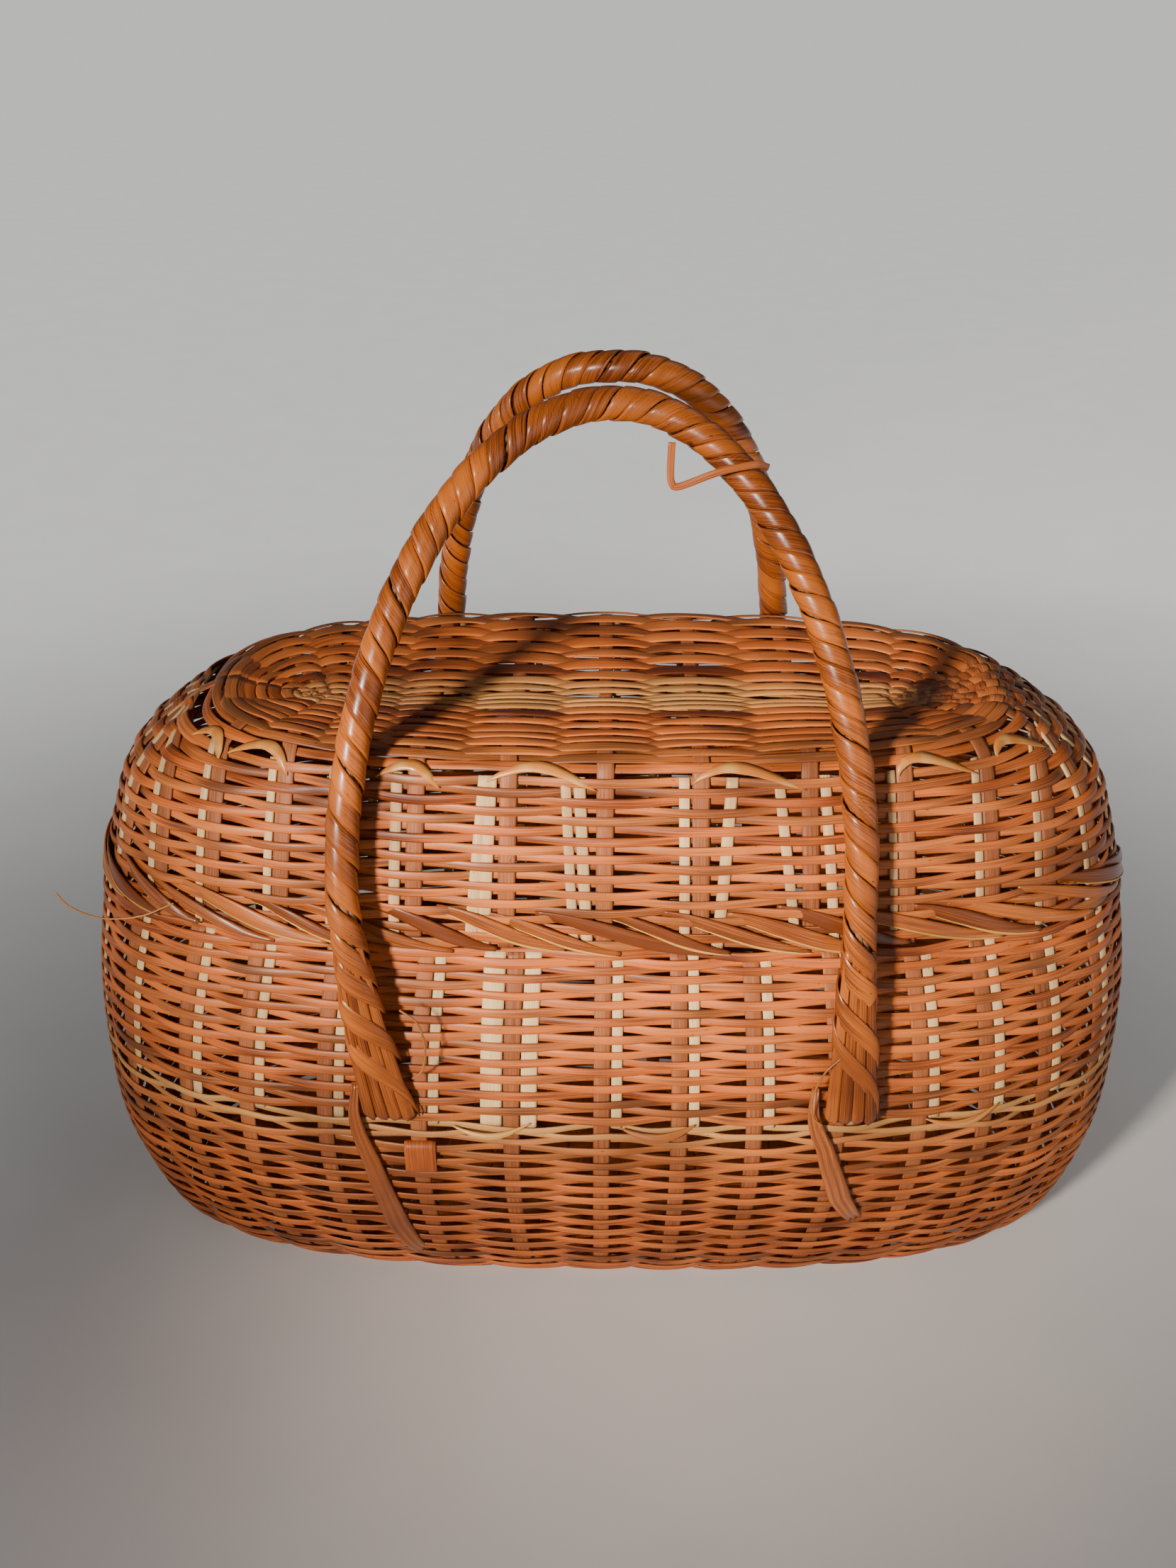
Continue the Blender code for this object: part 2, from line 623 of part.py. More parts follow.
lid_band = make_shell("lid_band", lid, 0, shoulder_share - shoulder_edge_share, LID_BAND_ROWS,
                      basket_parts, SPLINT_RED)
make_shell("lid_dome", lid, shoulder_share + shoulder_edge_share, 1, LID_DOME_ROWS, basket_parts, SPLINT_RED)
make_hoop("lid_border", lid, LID_LOW, LID_LOW + LID_BORDER_HEIGHT, GAP, GAP + LID_BORDER_THICKNESS,
          ROLLED_SECTION_SHARES, basket_parts, SPLINT_HONEY, 0.3)

for loop_side, loop_label in ((-1, "left"), (1, "right")):
    make_loop(f"{loop_label}_hinge_loop", loop_side * LOOP_SPACING / 2, basket_parts)
cut_loop_slots(upper_wall, lid_band, basket_cutters)

FACING_FRONT = Matrix.Identity(4)
FACING_BACK = Matrix.Rotation(math.pi, 4, "Z")
front_toes = make_handle("front", FRONT_HALF_SPANS, FRONT_BOW_POWER, FRONT_FOOT_SHIFTS, FACING_FRONT,
                         basket_parts, SPLINT_HONEY)
rear_toes = make_handle("rear", REAR_HALF_SPANS, REAR_BOW_POWER, REAR_FOOT_SHIFTS, FACING_BACK,
                        basket_parts, SPLINT_HONEY)
make_ties("front", front_toes, FACING_FRONT, basket_parts)
make_ties("rear", rear_toes, FACING_BACK, basket_parts)
clip_x = front_toes[0] + FOOT_BOTTOM_WIDTH / 2
clip_top = PALE_WEAVER_TOP - CLIP_DROP
make_strap("foot_clip", (clip_x, clip_top), (clip_x, clip_top - CLIP_HEIGHT), CLIP_WIDTH, FACING_FRONT,
           basket_parts, SPLINT_BROWN)
for face, turn, spans in (("front", FACING_FRONT, FRONT_HALF_SPANS), ("rear", FACING_BACK, REAR_HALF_SPANS)):
    for number, tuck_share in enumerate(TUCK_PLACE_SHARES, 1):
        make_tuck(f"{face}_tuck_end_{number}", tuck_share, spans, lid, shoulder_share, turn, basket_parts)
bpy.context.view_layer.update()
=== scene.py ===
"""Looks of the lidded market basket: woven splint walls, a lashed lid and two wound hoop handles.

Metres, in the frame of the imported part. The front faces -Y and the basket stands on z = 0.
"""
import math

import bpy
import numpy as np
from mathutils import Matrix, Vector


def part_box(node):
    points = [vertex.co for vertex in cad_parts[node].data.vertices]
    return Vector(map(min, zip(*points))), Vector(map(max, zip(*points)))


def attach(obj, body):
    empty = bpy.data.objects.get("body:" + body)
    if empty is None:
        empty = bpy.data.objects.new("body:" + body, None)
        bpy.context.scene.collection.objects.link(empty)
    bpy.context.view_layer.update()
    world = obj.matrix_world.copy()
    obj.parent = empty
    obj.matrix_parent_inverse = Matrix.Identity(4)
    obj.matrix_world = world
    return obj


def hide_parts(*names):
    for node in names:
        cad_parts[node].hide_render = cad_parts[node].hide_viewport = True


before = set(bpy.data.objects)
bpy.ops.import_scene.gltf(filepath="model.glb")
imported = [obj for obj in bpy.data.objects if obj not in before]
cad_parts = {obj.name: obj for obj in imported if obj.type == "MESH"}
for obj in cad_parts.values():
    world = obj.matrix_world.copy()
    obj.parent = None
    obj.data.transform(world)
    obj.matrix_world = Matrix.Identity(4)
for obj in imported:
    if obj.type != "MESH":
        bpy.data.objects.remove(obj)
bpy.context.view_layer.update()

# The studio: a plain pale floor and soft light, with a warm key light from the upper left, seen from a
# little above the front, as the picture was taken. Each light has its name, place, target, size, spread
# in degrees, power in watts and colour.
CAMERA_PLACE = (-0.0027, -0.6148, 0.5055)
CAMERA_DOWN = math.radians(26.49)
CAMERA_LEFT = math.radians(0.65)
CAMERA_ROLL = math.radians(0.14)
CAMERA_LENS = 38.08
SENSOR_WIDTH = 36.0
SKY_COLOUR = (0.9, 0.93, 1.0, 1.0)
SKY_STRENGTH = 0.1
FLOOR_HALF = 40.0
FLOOR_COLOUR = (0.8, 0.79, 0.77)
MOTTLE_COLOUR = (0.74, 0.73, 0.71)
LIGHTS = (
    ("key", (-0.56, -1.1, 0.62), (0.07, 0.0, 0.18), 0.13, 28.0, 1.0, (1.0, 0.9, 0.79)),
    ("fill", (1.1, -1.1, 0.5), (0.0, 0.0, 0.18), 0.9, 180.0, 2.6, (1.0, 0.96, 0.9)),
    ("top", (0.5, 0.5, 1.5), (0.0, 0.0, 0.18), 0.8, 180.0, 1.15, (1.0, 0.96, 0.9)),
)


def add_light(name, place, target, size, spread, power, colour):
    """A soft square light at a place, turned to a target. Its beam fades out at half the spread."""
    data = bpy.data.lights.new(name, "AREA")
    data.size = size
    data.spread = math.radians(spread)
    data.energy = power
    data.color = colour
    lamp = bpy.data.objects.new(name, data)
    lamp.location = place
    lamp.rotation_euler = (Vector(target) - Vector(place)).to_track_quat("-Z", "Y").to_euler()
    bpy.context.scene.collection.objects.link(lamp)


def remapped(nodes, links, value, ranges, smooth=False):
    """A socket with a value taken from one range to another: from low, from high, to low, to high."""
    step = nodes.new("ShaderNodeMapRange")
    step.interpolation_type = "SMOOTHSTEP" if smooth else "LINEAR"
    for socket, number in zip(("From Min", "From Max", "To Min", "To Max"), ranges):
        step.inputs[socket].default_value = number
    links.new(value, step.inputs["Value"])
    return step.outputs["Result"]


def mixed(nodes, links, share, first, second):
    """A socket with a colour between two, each of them a colour or a socket."""
    step = nodes.new("ShaderNodeMix")
    step.data_type = "RGBA"
    links.new(share, step.inputs[0])
    for socket, value in ((step.inputs[6], first), (step.inputs[7], second)):
        if isinstance(value, tuple):
            socket.default_value = (*value, 1.0)
        else:
            links.new(value, socket)
    return step.outputs[2]


def floor_material():
    """Pale matt board with a faint mottle. Far from the basket it glows a little, so that it stays pale
    to the horizon."""
    material = bpy.data.materials.new("pale_board")
    material.use_nodes = True
    nodes, links = material.node_tree.nodes, material.node_tree.links
    shader = nodes["Principled BSDF"]
    shader.inputs["Roughness"].default_value = 0.9
    place = nodes.new("ShaderNodeTexCoord")
    mottle = nodes.new("ShaderNodeTexNoise")
    mottle.inputs["Scale"].default_value = 18.0
    links.new(place.outputs["Object"], mottle.inputs["Vector"])
    colour = mixed(nodes, links, mottle.outputs["Fac"], FLOOR_COLOUR, MOTTLE_COLOUR)
    links.new(colour, shader.inputs["Base Color"])
    links.new(colour, shader.inputs["Emission Color"])
    distance = nodes.new("ShaderNodeVectorMath")
    distance.operation = "LENGTH"
    links.new(place.outputs["Object"], distance.inputs[0])
    glow = remapped(nodes, links, distance.outputs["Value"], (0.2, 1.0, 0.1, 0.8), smooth=True)
    links.new(glow, shader.inputs["Emission Strength"])
    return material


view = bpy.data.cameras.new("view")
view.lens = CAMERA_LENS
view.sensor_width = SENSOR_WIDTH
camera = bpy.data.objects.new("view", view)
camera.matrix_world = (Matrix.Translation(CAMERA_PLACE) @ Matrix.Rotation(CAMERA_LEFT, 4, "Z")
                       @ Matrix.Rotation(math.pi / 2 - CAMERA_DOWN, 4, "X")
                       @ Matrix.Rotation(CAMERA_ROLL, 4, "Z"))
bpy.context.scene.collection.objects.link(camera)
bpy.context.scene.camera = camera
for light in LIGHTS:
    add_light(*light)
world = bpy.data.worlds.new("studio")
world.use_nodes = True
sky = world.node_tree.nodes["Background"]
sky.inputs["Color"].default_value = SKY_COLOUR
sky.inputs["Strength"].default_value = SKY_STRENGTH
bpy.context.scene.world = world
board = bpy.data.meshes.new("floor")
board.from_pydata([(-FLOOR_HALF, -FLOOR_HALF, 0), (FLOOR_HALF, -FLOOR_HALF, 0),
                   (FLOOR_HALF, FLOOR_HALF, 0), (-FLOOR_HALF, FLOOR_HALF, 0)], [], [(0, 1, 2, 3)])
floor = bpy.data.objects.new("floor", board)
board.materials.append(floor_material())
bpy.context.scene.collection.objects.link(floor)

# Weavers of the body: flat splints, about 3.3 mm wide and 0.9 mm thick, woven over one stake and under
# the next, round and round from the base to the rim. Just below the pale row they are more tan.
OVAL_EXPONENT = 2.8
BODY_OUTLINE_SHARES = ((0.842, 0.645, 0.0), (0.924, 0.825, 0.1), (0.985, 0.942, 0.304),
                       (1.0, 1.0, 0.523), (0.996, 0.951, 0.763), (0.968, 0.845, 1.0))
OUTLINE_STEPS = 400
RING_POINTS = 1440
FRONT_STAKES = (-0.169, -0.143, -0.111, -0.074, -0.038, -0.003, 0.027, 0.056, 0.088, 0.121, 0.148, 0.173)
END_STAKES = 5
STEPS_PER_STAKE = 8
PHASE_STEP = 0.04
SPLINT_SECTION = np.array([(-0.5, 0.05), (-0.49, 0.62), (-0.36, 0.93), (0.0, 1.05),
                           (0.36, 0.93), (0.49, 0.62), (0.5, 0.05), (0.0, -0.05)])
WEAVER_THICKNESS = 0.00085
WEAVER_SWING = 0.00122
WEAVE_SEAT = 0.0009
BODY_PITCH = 0.00342
WEAVER_WIDTH_SHARE = 0.96
WEAVER_SAG = 0.0004
ROW_WANDER = 0.00022
LIFT_BY_ROW = 0.00015
WIDTH_CHANGE = 0.05
WEAVER_LEAN = 0.08
WEAVER_TONE, TONE_BY_ROW, TONE_ALONG = 0.22, 0.24, 0.26
PALE_BY_ROW = 0.07
FREE_ROOM = 0.012
LEAST_EASE = 0.2
DRIFT_WAVES = 5
PALE_ROW_HEIGHT = 0.1
ROWS_LEFT_BELOW_PALE = 2.2
ROWS_LEFT_ABOVE_PALE = 1.4
TAN_SHARE = 0.3
TAN_FADE = 0.02
UPPER_PALE = 0.03
RIM_BAND = 0.0065
chance = np.random.default_rng(11)


def curve_through(points, places):
    """Catmull-Rom curve through points, at places counted in points. In words: a cubic in how far the
    place lies past its point, from that point, the one before and the two after. Both ends go straight
    on."""
    knots = np.vstack([2 * points[0] - points[1], points, 2 * points[-1] - points[-2]])
    first = np.minimum(places.astype(int), len(points) - 2)
    t = (places - first)[:, None]
    p0, p1, p2, p3 = (knots[first + shift] for shift in range(4))
    return 0.5 * (2 * p1 + (p2 - p0) * t + (2 * p0 - 5 * p1 + 4 * p2 - p3) * t ** 2
                  + (3 * p1 - p0 - 3 * p2 + p3) * t ** 3)


def smooth_outline(shares, sizes):
    """Curve through the shares, times the sizes: half length, half width and height."""
    return curve_through(np.array(shares), np.linspace(0, len(shares) - 1, OUTLINE_STEPS + 1)) * sizes


def run_along(points):
    """How far each point of a line lies along it."""
    return np.concatenate([[0], np.cumsum(np.linalg.norm(np.diff(points, axis=0), axis=1))])


def read_at(places, runs, points):
    """The columns of a line's points, each read at places along its runs."""
    return np.stack([np.interp(places, runs, column) for column in points.T], axis=-1)


def unit(vectors):
    """Vectors over their lengths."""
    return vectors / (np.linalg.norm(vectors, axis=-1, keepdims=True) + 1e-12)


def ring_at(outline, run, shift=0.0):
    """A level ring of a wall: x = a |cos|^(2/n), y = b |sin|^(2/n) + shift, with the signs of cos and
    sin. a, b and the height are the outline's at that run. Starts at +X and passes the back first."""
    a, b, height = read_at(run, run_along(outline[:, 1:]), outline)
    turn = np.linspace(0, 2 * math.pi, RING_POINTS + 1)
    x = a * np.sign(np.cos(turn)) * np.abs(np.cos(turn)) ** (2 / OVAL_EXPONENT)
    y = b * np.sign(np.sin(turn)) * np.abs(np.sin(turn)) ** (2 / OVAL_EXPONENT) + shift
    return np.stack([x, y, np.full_like(x, height)], axis=1)


def rings_at(outline, runs, shifts):
    """A ring for each run, with its own shift or the same for all."""
    return [ring_at(outline, run, shift) for run, shift in zip(runs, np.broadcast_to(shifts, len(runs)))]


def stake_near(marks, ring, x):
    """Number of the front stake that lies nearest to a place along the basket."""
    shares = run_along(ring) / run_along(ring)[-1]
    half = RING_POINTS // 2
    return int(np.argmin(np.abs(marks - np.interp(x, ring[half:, 0], shares[half:]))))


def stake_marks(ring, front_places, end_count):
    """Where the stakes cross a ring, as shares of its run: the front ones by x, the back ones their
    mirror image, and evenly spaced ones round each end."""
    shares = run_along(ring) / run_along(ring)[-1]
    half = RING_POINTS // 2
    front = np.interp(front_places, ring[half:, 0], shares[half:])
    back = 1 - front[::-1]
    left = np.linspace(back[-1], front[0], end_count + 2)[1:-1]
    right = np.linspace(front[-1], 1 + back[0], end_count + 2)[1:-1] % 1
    return np.sort(np.concatenate([front, back, left, right]))


def on_rings(rings, marks, phases):
    """Points on every ring at phases counted in stakes, with the directions along, up and out there.
    The run at a phase lies evenly between the marks. Up is square to along, towards the next ring, and
    out is the cross product of along and up."""
    def at(steps):
        rows = []
        for ring, places in zip(rings, marks):
            runs = run_along(ring)
            closed = np.append(places, places[0] + 1)
            place = np.interp(steps % len(places), np.arange(len(closed)), closed) % 1 * runs[-1]
            rows.append(read_at(place, runs, ring))
        return np.array(rows)

    place = at(phases)
    along = unit(at(phases + PHASE_STEP) - at(phases - PHASE_STEP))
    up = np.gradient(place, axis=0)
    up = unit(up - along * (up * along).sum(axis=2, keepdims=True))
    return place, along, up, np.cross(along, up)


def splints(place, across, out, width, thickness, section=SPLINT_SECTION):
    """Corners of strips: place + across * width * share + out * thickness * share, for each corner of
    a half-round section. Width and thickness may change along the strip."""
    width = np.broadcast_to(width, place.shape[:2])[..., None, None]
    thickness = np.broadcast_to(thickness, place.shape[:2])[..., None, None]
    return (place[:, :, None] + across[:, :, None] * section[:, :1] * width
            + out[:, :, None] * section[:, 1:] * thickness)


def strip_mesh(name, corners, closed, tone, pale, material):
    """One mesh of many strips. corners is [strip, step, corner]: faces join each step to the next and
    each corner to the next. The UV map holds the run along and round a strip, in metres."""
    strips, steps, count = corners.shape[:3]
    index = np.arange(strips * steps * count).reshape(strips, steps, count)
    after = np.roll(index, -1, axis=1) if closed else index[:, 1:]
    here = index if closed else index[:, :-1]
    quads = np.stack([here, np.roll(here, -1, axis=2), np.roll(after, -1, axis=2), after], axis=-1)
    quads = quads.reshape(-1, 4)
    middle = corners.mean(axis=2)
    pace = np.linalg.norm(np.roll(middle, -1, axis=1) - middle, axis=2)
    run = np.cumsum(pace, axis=1) - pace + chance.uniform(0, 1, (strips, 1))
    girth = np.linalg.norm(np.roll(corners, -1, axis=2) - corners, axis=3)
    round_run = np.cumsum(girth, axis=2) - girth
    u0 = run[:, :, None] + 0 * girth
    u1 = u0 + pace[:, :, None]
    v0, v1 = round_run, round_run + girth
    if not closed:
        u0, u1, v0, v1 = (value[:, :-1] for value in (u0, u1, v0, v1))
    uv = np.stack([u0, v0, u0, v1, u1, v1, u1, v0], axis=-1).reshape(-1, 2)
    sizes = np.full(len(quads), 4)
    loops = quads.reshape(-1)
    if not closed:
        caps = np.concatenate([index[:, 0, ::-1], index[:, -1]])
        sizes = np.concatenate([sizes, np.full(len(caps), count)])
        loops = np.concatenate([loops, caps.reshape(-1)])
        uv = np.concatenate([uv, np.zeros((caps.size, 2))])
    mesh = bpy.data.meshes.new(name)
    mesh.vertices.add(index.size)
    mesh.vertices.foreach_set("co", corners.astype(np.float32).reshape(-1))
    mesh.loops.add(len(loops))
    mesh.loops.foreach_set("vertex_index", loops.astype(np.int32))
    mesh.polygons.add(len(sizes))
    mesh.polygons.foreach_set("loop_start", (np.cumsum(sizes) - sizes).astype(np.int32))
    mesh.update(calc_edges=True)
    layer = mesh.uv_layers.new(name="strip")
    layer.data.foreach_set("uv", uv.astype(np.float32).reshape(-1))
    for label, value in (("tone", tone), ("pale", pale)):
        spread = np.broadcast_to(value, (strips, steps))[:, :, None] + np.zeros(count)
        attribute = mesh.attributes.new(label, "FLOAT", "POINT")
        attribute.data.foreach_set("value", spread.astype(np.float32).reshape(-1))
    mesh.validate()
    mesh.shade_smooth()
    mesh.materials.append(material)
    piece = bpy.data.objects.new(name, mesh)
    bpy.context.scene.collection.objects.link(piece)
    return piece


def fit_piece(piece, body, slot, *nodes):
    """Let a piece ride on its body, in place of the nodes that it stands for."""
    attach(piece, body)
    if nodes:
        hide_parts(*nodes)
    return piece


def fibre_group():
    """Fibres of split wood, from the strip's own map: fine streaks along it, broader bands of tone and
    a few dark flecks. Puts out a tint of about 0 to 1, the flecks' mask, a roughness and a height."""
    group = bpy.data.node_groups.new("split_fibre", "ShaderNodeTree")
    for name, kind in (("Streaks", "NodeSocketFloat"), ("Gloss", "NodeSocketFloat")):
        group.interface.new_socket(name, in_out="INPUT", socket_type=kind)
    for name in ("Tint", "Fleck", "Roughness", "Height"):
        group.interface.new_socket(name, in_out="OUTPUT", socket_type="NodeSocketFloat")
    nodes, links = group.nodes, group.links
    into = nodes.new("NodeGroupInput")
    out = nodes.new("NodeGroupOutput")
    strip = nodes.new("ShaderNodeUVMap")
    strip.uv_map = "strip"

    def noise(scale, detail):
        stretch = nodes.new("ShaderNodeMapping")
        stretch.inputs["Scale"].default_value = scale
        texture = nodes.new("ShaderNodeTexNoise")
        texture.inputs["Scale"].default_value = 1.0
        texture.inputs["Detail"].default_value = detail
        links.new(strip.outputs["UV"], stretch.inputs["Vector"])
        links.new(stretch.outputs["Vector"], texture.inputs["Vector"])
        return texture.outputs["Fac"]

    def remap(value, *ranges):
        return remapped(nodes, links, value, ranges)

    def maths(kind, first, second):
        step = nodes.new("ShaderNodeMath")
        step.operation = kind
        for socket, value in zip(step.inputs, (first, second)):
            if isinstance(value, float):
                socket.default_value = value
            else:
                links.new(value, socket)
        return step.outputs["Value"]

    fine = noise((35.0, 2600.0, 1.0), 3.0)
    bands = noise((22.0, 240.0, 1.0), 2.0)
    fleck = noise((420.0, 900.0, 1.0), 2.0)
    streaks = maths("MULTIPLY", remap(fine, 0.3, 0.7, -0.5, 0.5), into.outputs["Streaks"])
    tint = maths("ADD", streaks, remap(bands, 0.3, 0.7, 0.2, 0.8))
    links.new(tint, out.inputs["Tint"])
    links.new(remap(fleck, 0.68, 0.78, 0.0, 1.0), out.inputs["Fleck"])
    roughness = maths("ADD", into.outputs["Gloss"], remap(bands, 0.3, 0.7, -0.07, 0.1))
    links.new(roughness, out.inputs["Roughness"])
    links.new(maths("ADD", fine, maths("MULTIPLY", bands, 0.4)), out.inputs["Height"])
    return group


split_fibre = fibre_group()


def splint_material(name, dark, bright, bare, gloss, coat, streaks, bump=0.25):
    """Splint from its tone and pale attributes: dark to bright by tone and fibre, and towards the bare
    wood's colour where pale is 1, with cloudy dark stains and brown flecks. Gloss is its roughness, and
    coat its varnish."""
    material = bpy.data.materials.new(name)
    material.use_nodes = True
    nodes, links = material.node_tree.nodes, material.node_tree.links
    shader = nodes["Principled BSDF"]
    shader.inputs["Specular IOR Level"].default_value = 0.35
    shader.inputs["Coat Weight"].default_value = coat
    shader.inputs["Coat Roughness"].default_value = 0.22
    fibre = nodes.new("ShaderNodeGroup")
    fibre.node_tree = split_fibre
    fibre.inputs["Streaks"].default_value = streaks
    fibre.inputs["Gloss"].default_value = gloss
    tone = nodes.new("ShaderNodeAttribute")
    tone.attribute_name = "tone"
    pale = nodes.new("ShaderNodeAttribute")
    pale.attribute_name = "pale"
    mean = nodes.new("ShaderNodeMath")
    mean.operation = "MULTIPLY_ADD"
    mean.inputs[1].default_value = 0.6
    links.new(fibre.outputs["Tint"], mean.inputs[0])
    links.new(tone.outputs["Fac"], mean.inputs[2])

    def blend(share, first, second):
        return mixed(nodes, links, share, first, second)

    stained = blend(mean.outputs["Value"], dark, bright)
    raw = blend(fibre.outputs["Tint"], tuple(channel * 0.72 for channel in bare), bare)
    clean = blend(pale.outputs["Fac"], stained, raw)
    place = nodes.new("ShaderNodeTexCoord")
    cloud = nodes.new("ShaderNodeTexNoise")
    cloud.inputs["Scale"].default_value = 17.0
    cloud.inputs["Detail"].default_value = 4.0
    links.new(place.outputs["Object"], cloud.inputs["Vector"])
    grime = remapped(nodes, links, cloud.outputs["Fac"], (0.48, 0.72, 0.0, 0.6))
    worn = blend(grime, clean, tuple(channel * 0.75 for channel in dark))
    colour = blend(fibre.outputs["Fleck"], worn, tuple(channel * 0.45 for channel in dark))
    links.new(colour, shader.inputs["Base Color"])
    links.new(fibre.outputs["Roughness"], shader.inputs["Roughness"])
    relief = nodes.new("ShaderNodeBump")
    relief.inputs["Strength"].default_value = bump
    relief.inputs["Distance"].default_value = 0.0002
    links.new(fibre.outputs["Height"], relief.inputs["Height"])
    links.new(relief.outputs["Normal"], shader.inputs["Normal"])
    return material


def drift(rows, steps, size):
    """Smooth chance along closed rows: a sum of sines of chance lengths and phases, about size high."""
    turn = np.linspace(0, 2 * math.pi, steps, endpoint=False)
    total = np.zeros((rows, steps))
    for wave in chance.integers(2, 40, DRIFT_WAVES):
        total += np.sin(turn * wave + chance.uniform(0, 2 * math.pi, (rows, 1)))
    return total * size / math.sqrt(DRIFT_WAVES)


def woven_rows(name, outline, runs, marks, width, swing, pale, shift=0.0, first=0, wander=ROW_WANDER,
               spread=1.0):
    """Closed weavers on rings of a wall. Out of the wall each swings as the cosine of its phase in half
    stakes, one row the other way from the next, less where stakes crowd. It sags where it stands out
    and rises where it passes behind, and it drifts a little along the wall. Where its neighbours lie
    further off than half way round it, it is wider by the same share, up to spread."""
    rows = len(runs)
    steps = len(marks[0]) * STEPS_PER_STAKE
    half_stake = STEPS_PER_STAKE // 2
    phases = np.arange(steps) / STEPS_PER_STAKE
    place, along, up, out = on_rings(rings_at(outline, runs, shift), marks, phases)
    side = np.where((np.arange(rows) + first) % 2, -1.0, 1.0)[:, None]
    room = np.linalg.norm(np.roll(place, -half_stake, 1) - np.roll(place, half_stake, 1), axis=2)
    ease = np.clip(room / FREE_ROOM, LEAST_EASE, 1.0)
    wave = side * np.cos(math.pi * phases)[None, :]
    depth = swing * ease * np.sign(wave) * np.abs(wave) ** 0.8 - WEAVE_SEAT
    lift = drift(rows, steps, wander) + chance.normal(0, LIFT_BY_ROW, (rows, 1)) - WEAVER_SAG * ease * wave
    place = place + out * depth[..., None] + up * lift[..., None]
    change = 1 + WIDTH_CHANGE * wave + chance.normal(0, WIDTH_CHANGE, (rows, 1))
    width = np.broadcast_to(width, rows)[:, None] * change
    apart = np.linalg.norm(np.gradient(place, axis=0), axis=2)
    width = width * np.clip(apart / np.median(apart, axis=1, keepdims=True), 1.0, spread)
    lean = drift(rows, steps, WEAVER_LEAN)[..., None]
    corners = splints(place, up + out * lean, out - up * lean, width, WEAVER_THICKNESS)
    tone = WEAVER_TONE + chance.normal(0, TONE_BY_ROW, (rows, 1)) + drift(rows, steps, TONE_ALONG)
    pale = np.clip(np.broadcast_to(pale, rows)[:, None] + chance.normal(0, PALE_BY_ROW, (rows, 1)), 0, 1)
    return strip_mesh(name, corners, True, tone, pale, weaver_splint)


wall_size = np.array(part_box("upper_wall")[1])
body_outline = smooth_outline(BODY_OUTLINE_SHARES, (1, 1, 1))
body_outline *= wall_size / (*body_outline[:, :2].max(axis=0), 1)
body_runs = run_along(body_outline[:, 1:])
pale_run = float(np.interp(PALE_ROW_HEIGHT, body_outline[:, 2], body_runs))
body_marks = stake_marks(ring_at(body_outline, pale_run), FRONT_STAKES, END_STAKES)
weaver_splint = splint_material("stained_weaver", (0.10, 0.019, 0.004), (0.64, 0.15, 0.024),
                                (0.66, 0.33, 0.10), 0.46, 0.04, 1.5)
lower_runs = np.arange(BODY_PITCH / 2, pale_run - BODY_PITCH * ROWS_LEFT_BELOW_PALE, BODY_PITCH)
upper_runs = np.arange(pale_run + BODY_PITCH * ROWS_LEFT_ABOVE_PALE, body_runs[-1] - RIM_BAND, BODY_PITCH)
lower_rows = woven_rows("lower_weavers", body_outline, lower_runs, [body_marks] * len(lower_runs),
                        BODY_PITCH * WEAVER_WIDTH_SHARE, WEAVER_SWING,
                        TAN_SHARE * np.exp((lower_runs - lower_runs[-1]) / TAN_FADE))
fit_piece(lower_rows, "basket", "red_splint", "lower_wall")
upper_rows = woven_rows("upper_weavers", body_outline, upper_runs, [body_marks] * len(upper_runs),
                        BODY_PITCH * WEAVER_WIDTH_SHARE, WEAVER_SWING, UPPER_PALE, first=1)
fit_piece(upper_rows, "basket", "red_splint", "upper_wall")

# The pale weavers: three narrow raw splints where the handles' feet enter the weave. They wander a
# little, and leave dark slits above and below them.
PALE_ROW_WIDTH = 0.0026
PALE_ROW_PLACES = (-0.0056, -0.0026, 0.0004)
PALE_ROW_PALE_SHARES = (0.45, 0.8, 0.95)
PALE_ROW_WANDER = 0.0006
pale_runs = pale_run + np.array(PALE_ROW_PLACES)
pale_rows = woven_rows("pale_weavers", body_outline, pale_runs, [body_marks] * len(pale_runs), PALE_ROW_WIDTH,
                       WEAVER_SWING, PALE_ROW_PALE_SHARES, first=len(lower_runs), wander=PALE_ROW_WANDER)
fit_piece(pale_rows, "basket", "pale_splint", "pale_weaver")

# The body's stakes: brown splints that run up the wall from the base to the rim. Beside each, a raw
# bye-stake runs from the pale row to the rim, and the fifth stake has wide ones on both sides.
STAKE_WIDTH = 0.0064
STAKE_THICKNESS = 0.001
STAKE_TONE = (0.3, 0.12)
STAKE_GAP = 0.0004
STAKE_INSET = 0.001
STAKE_STEPS = 60
BYE_STEPS = 30
BYE_WIDTH = 0.0042
BYE_TONE = 0.5
BYE_PALE = (0.95, 0.05)
WIDE_BYE_PLACE = -0.038


def stake_strips(outline, runs, marks, which, aside, width, shift=0.0):
    """Strips along the wall on the line of some stakes, moved aside along the ring, by one amount or
    by one for each run."""
    phases = np.arange(len(marks[0]), dtype=float)
    place, along, _, out = on_rings(rings_at(outline, runs, shift), marks, phases)
    place = place[:, which] + along[:, which] * np.broadcast_to(aside, len(runs))[:, None, None]
    place, along, out = (np.swapaxes(value, 0, 1) for value in (place, along[:, which], out[:, which]))
    return splints(place - out * WEAVE_SEAT, -along, out, width, STAKE_THICKNESS)


def flat_tone(count, middle, spread):
    """One tone for each of some strips, by chance about a middle one."""
    return middle + chance.normal(0, spread, (count, 1))


def flat_pale(count, middle, spread):
    """One share of bare wood for each of some strips, by chance about a middle one, from 0 to 1."""
    return np.clip(flat_tone(count, middle, spread), 0, 1)


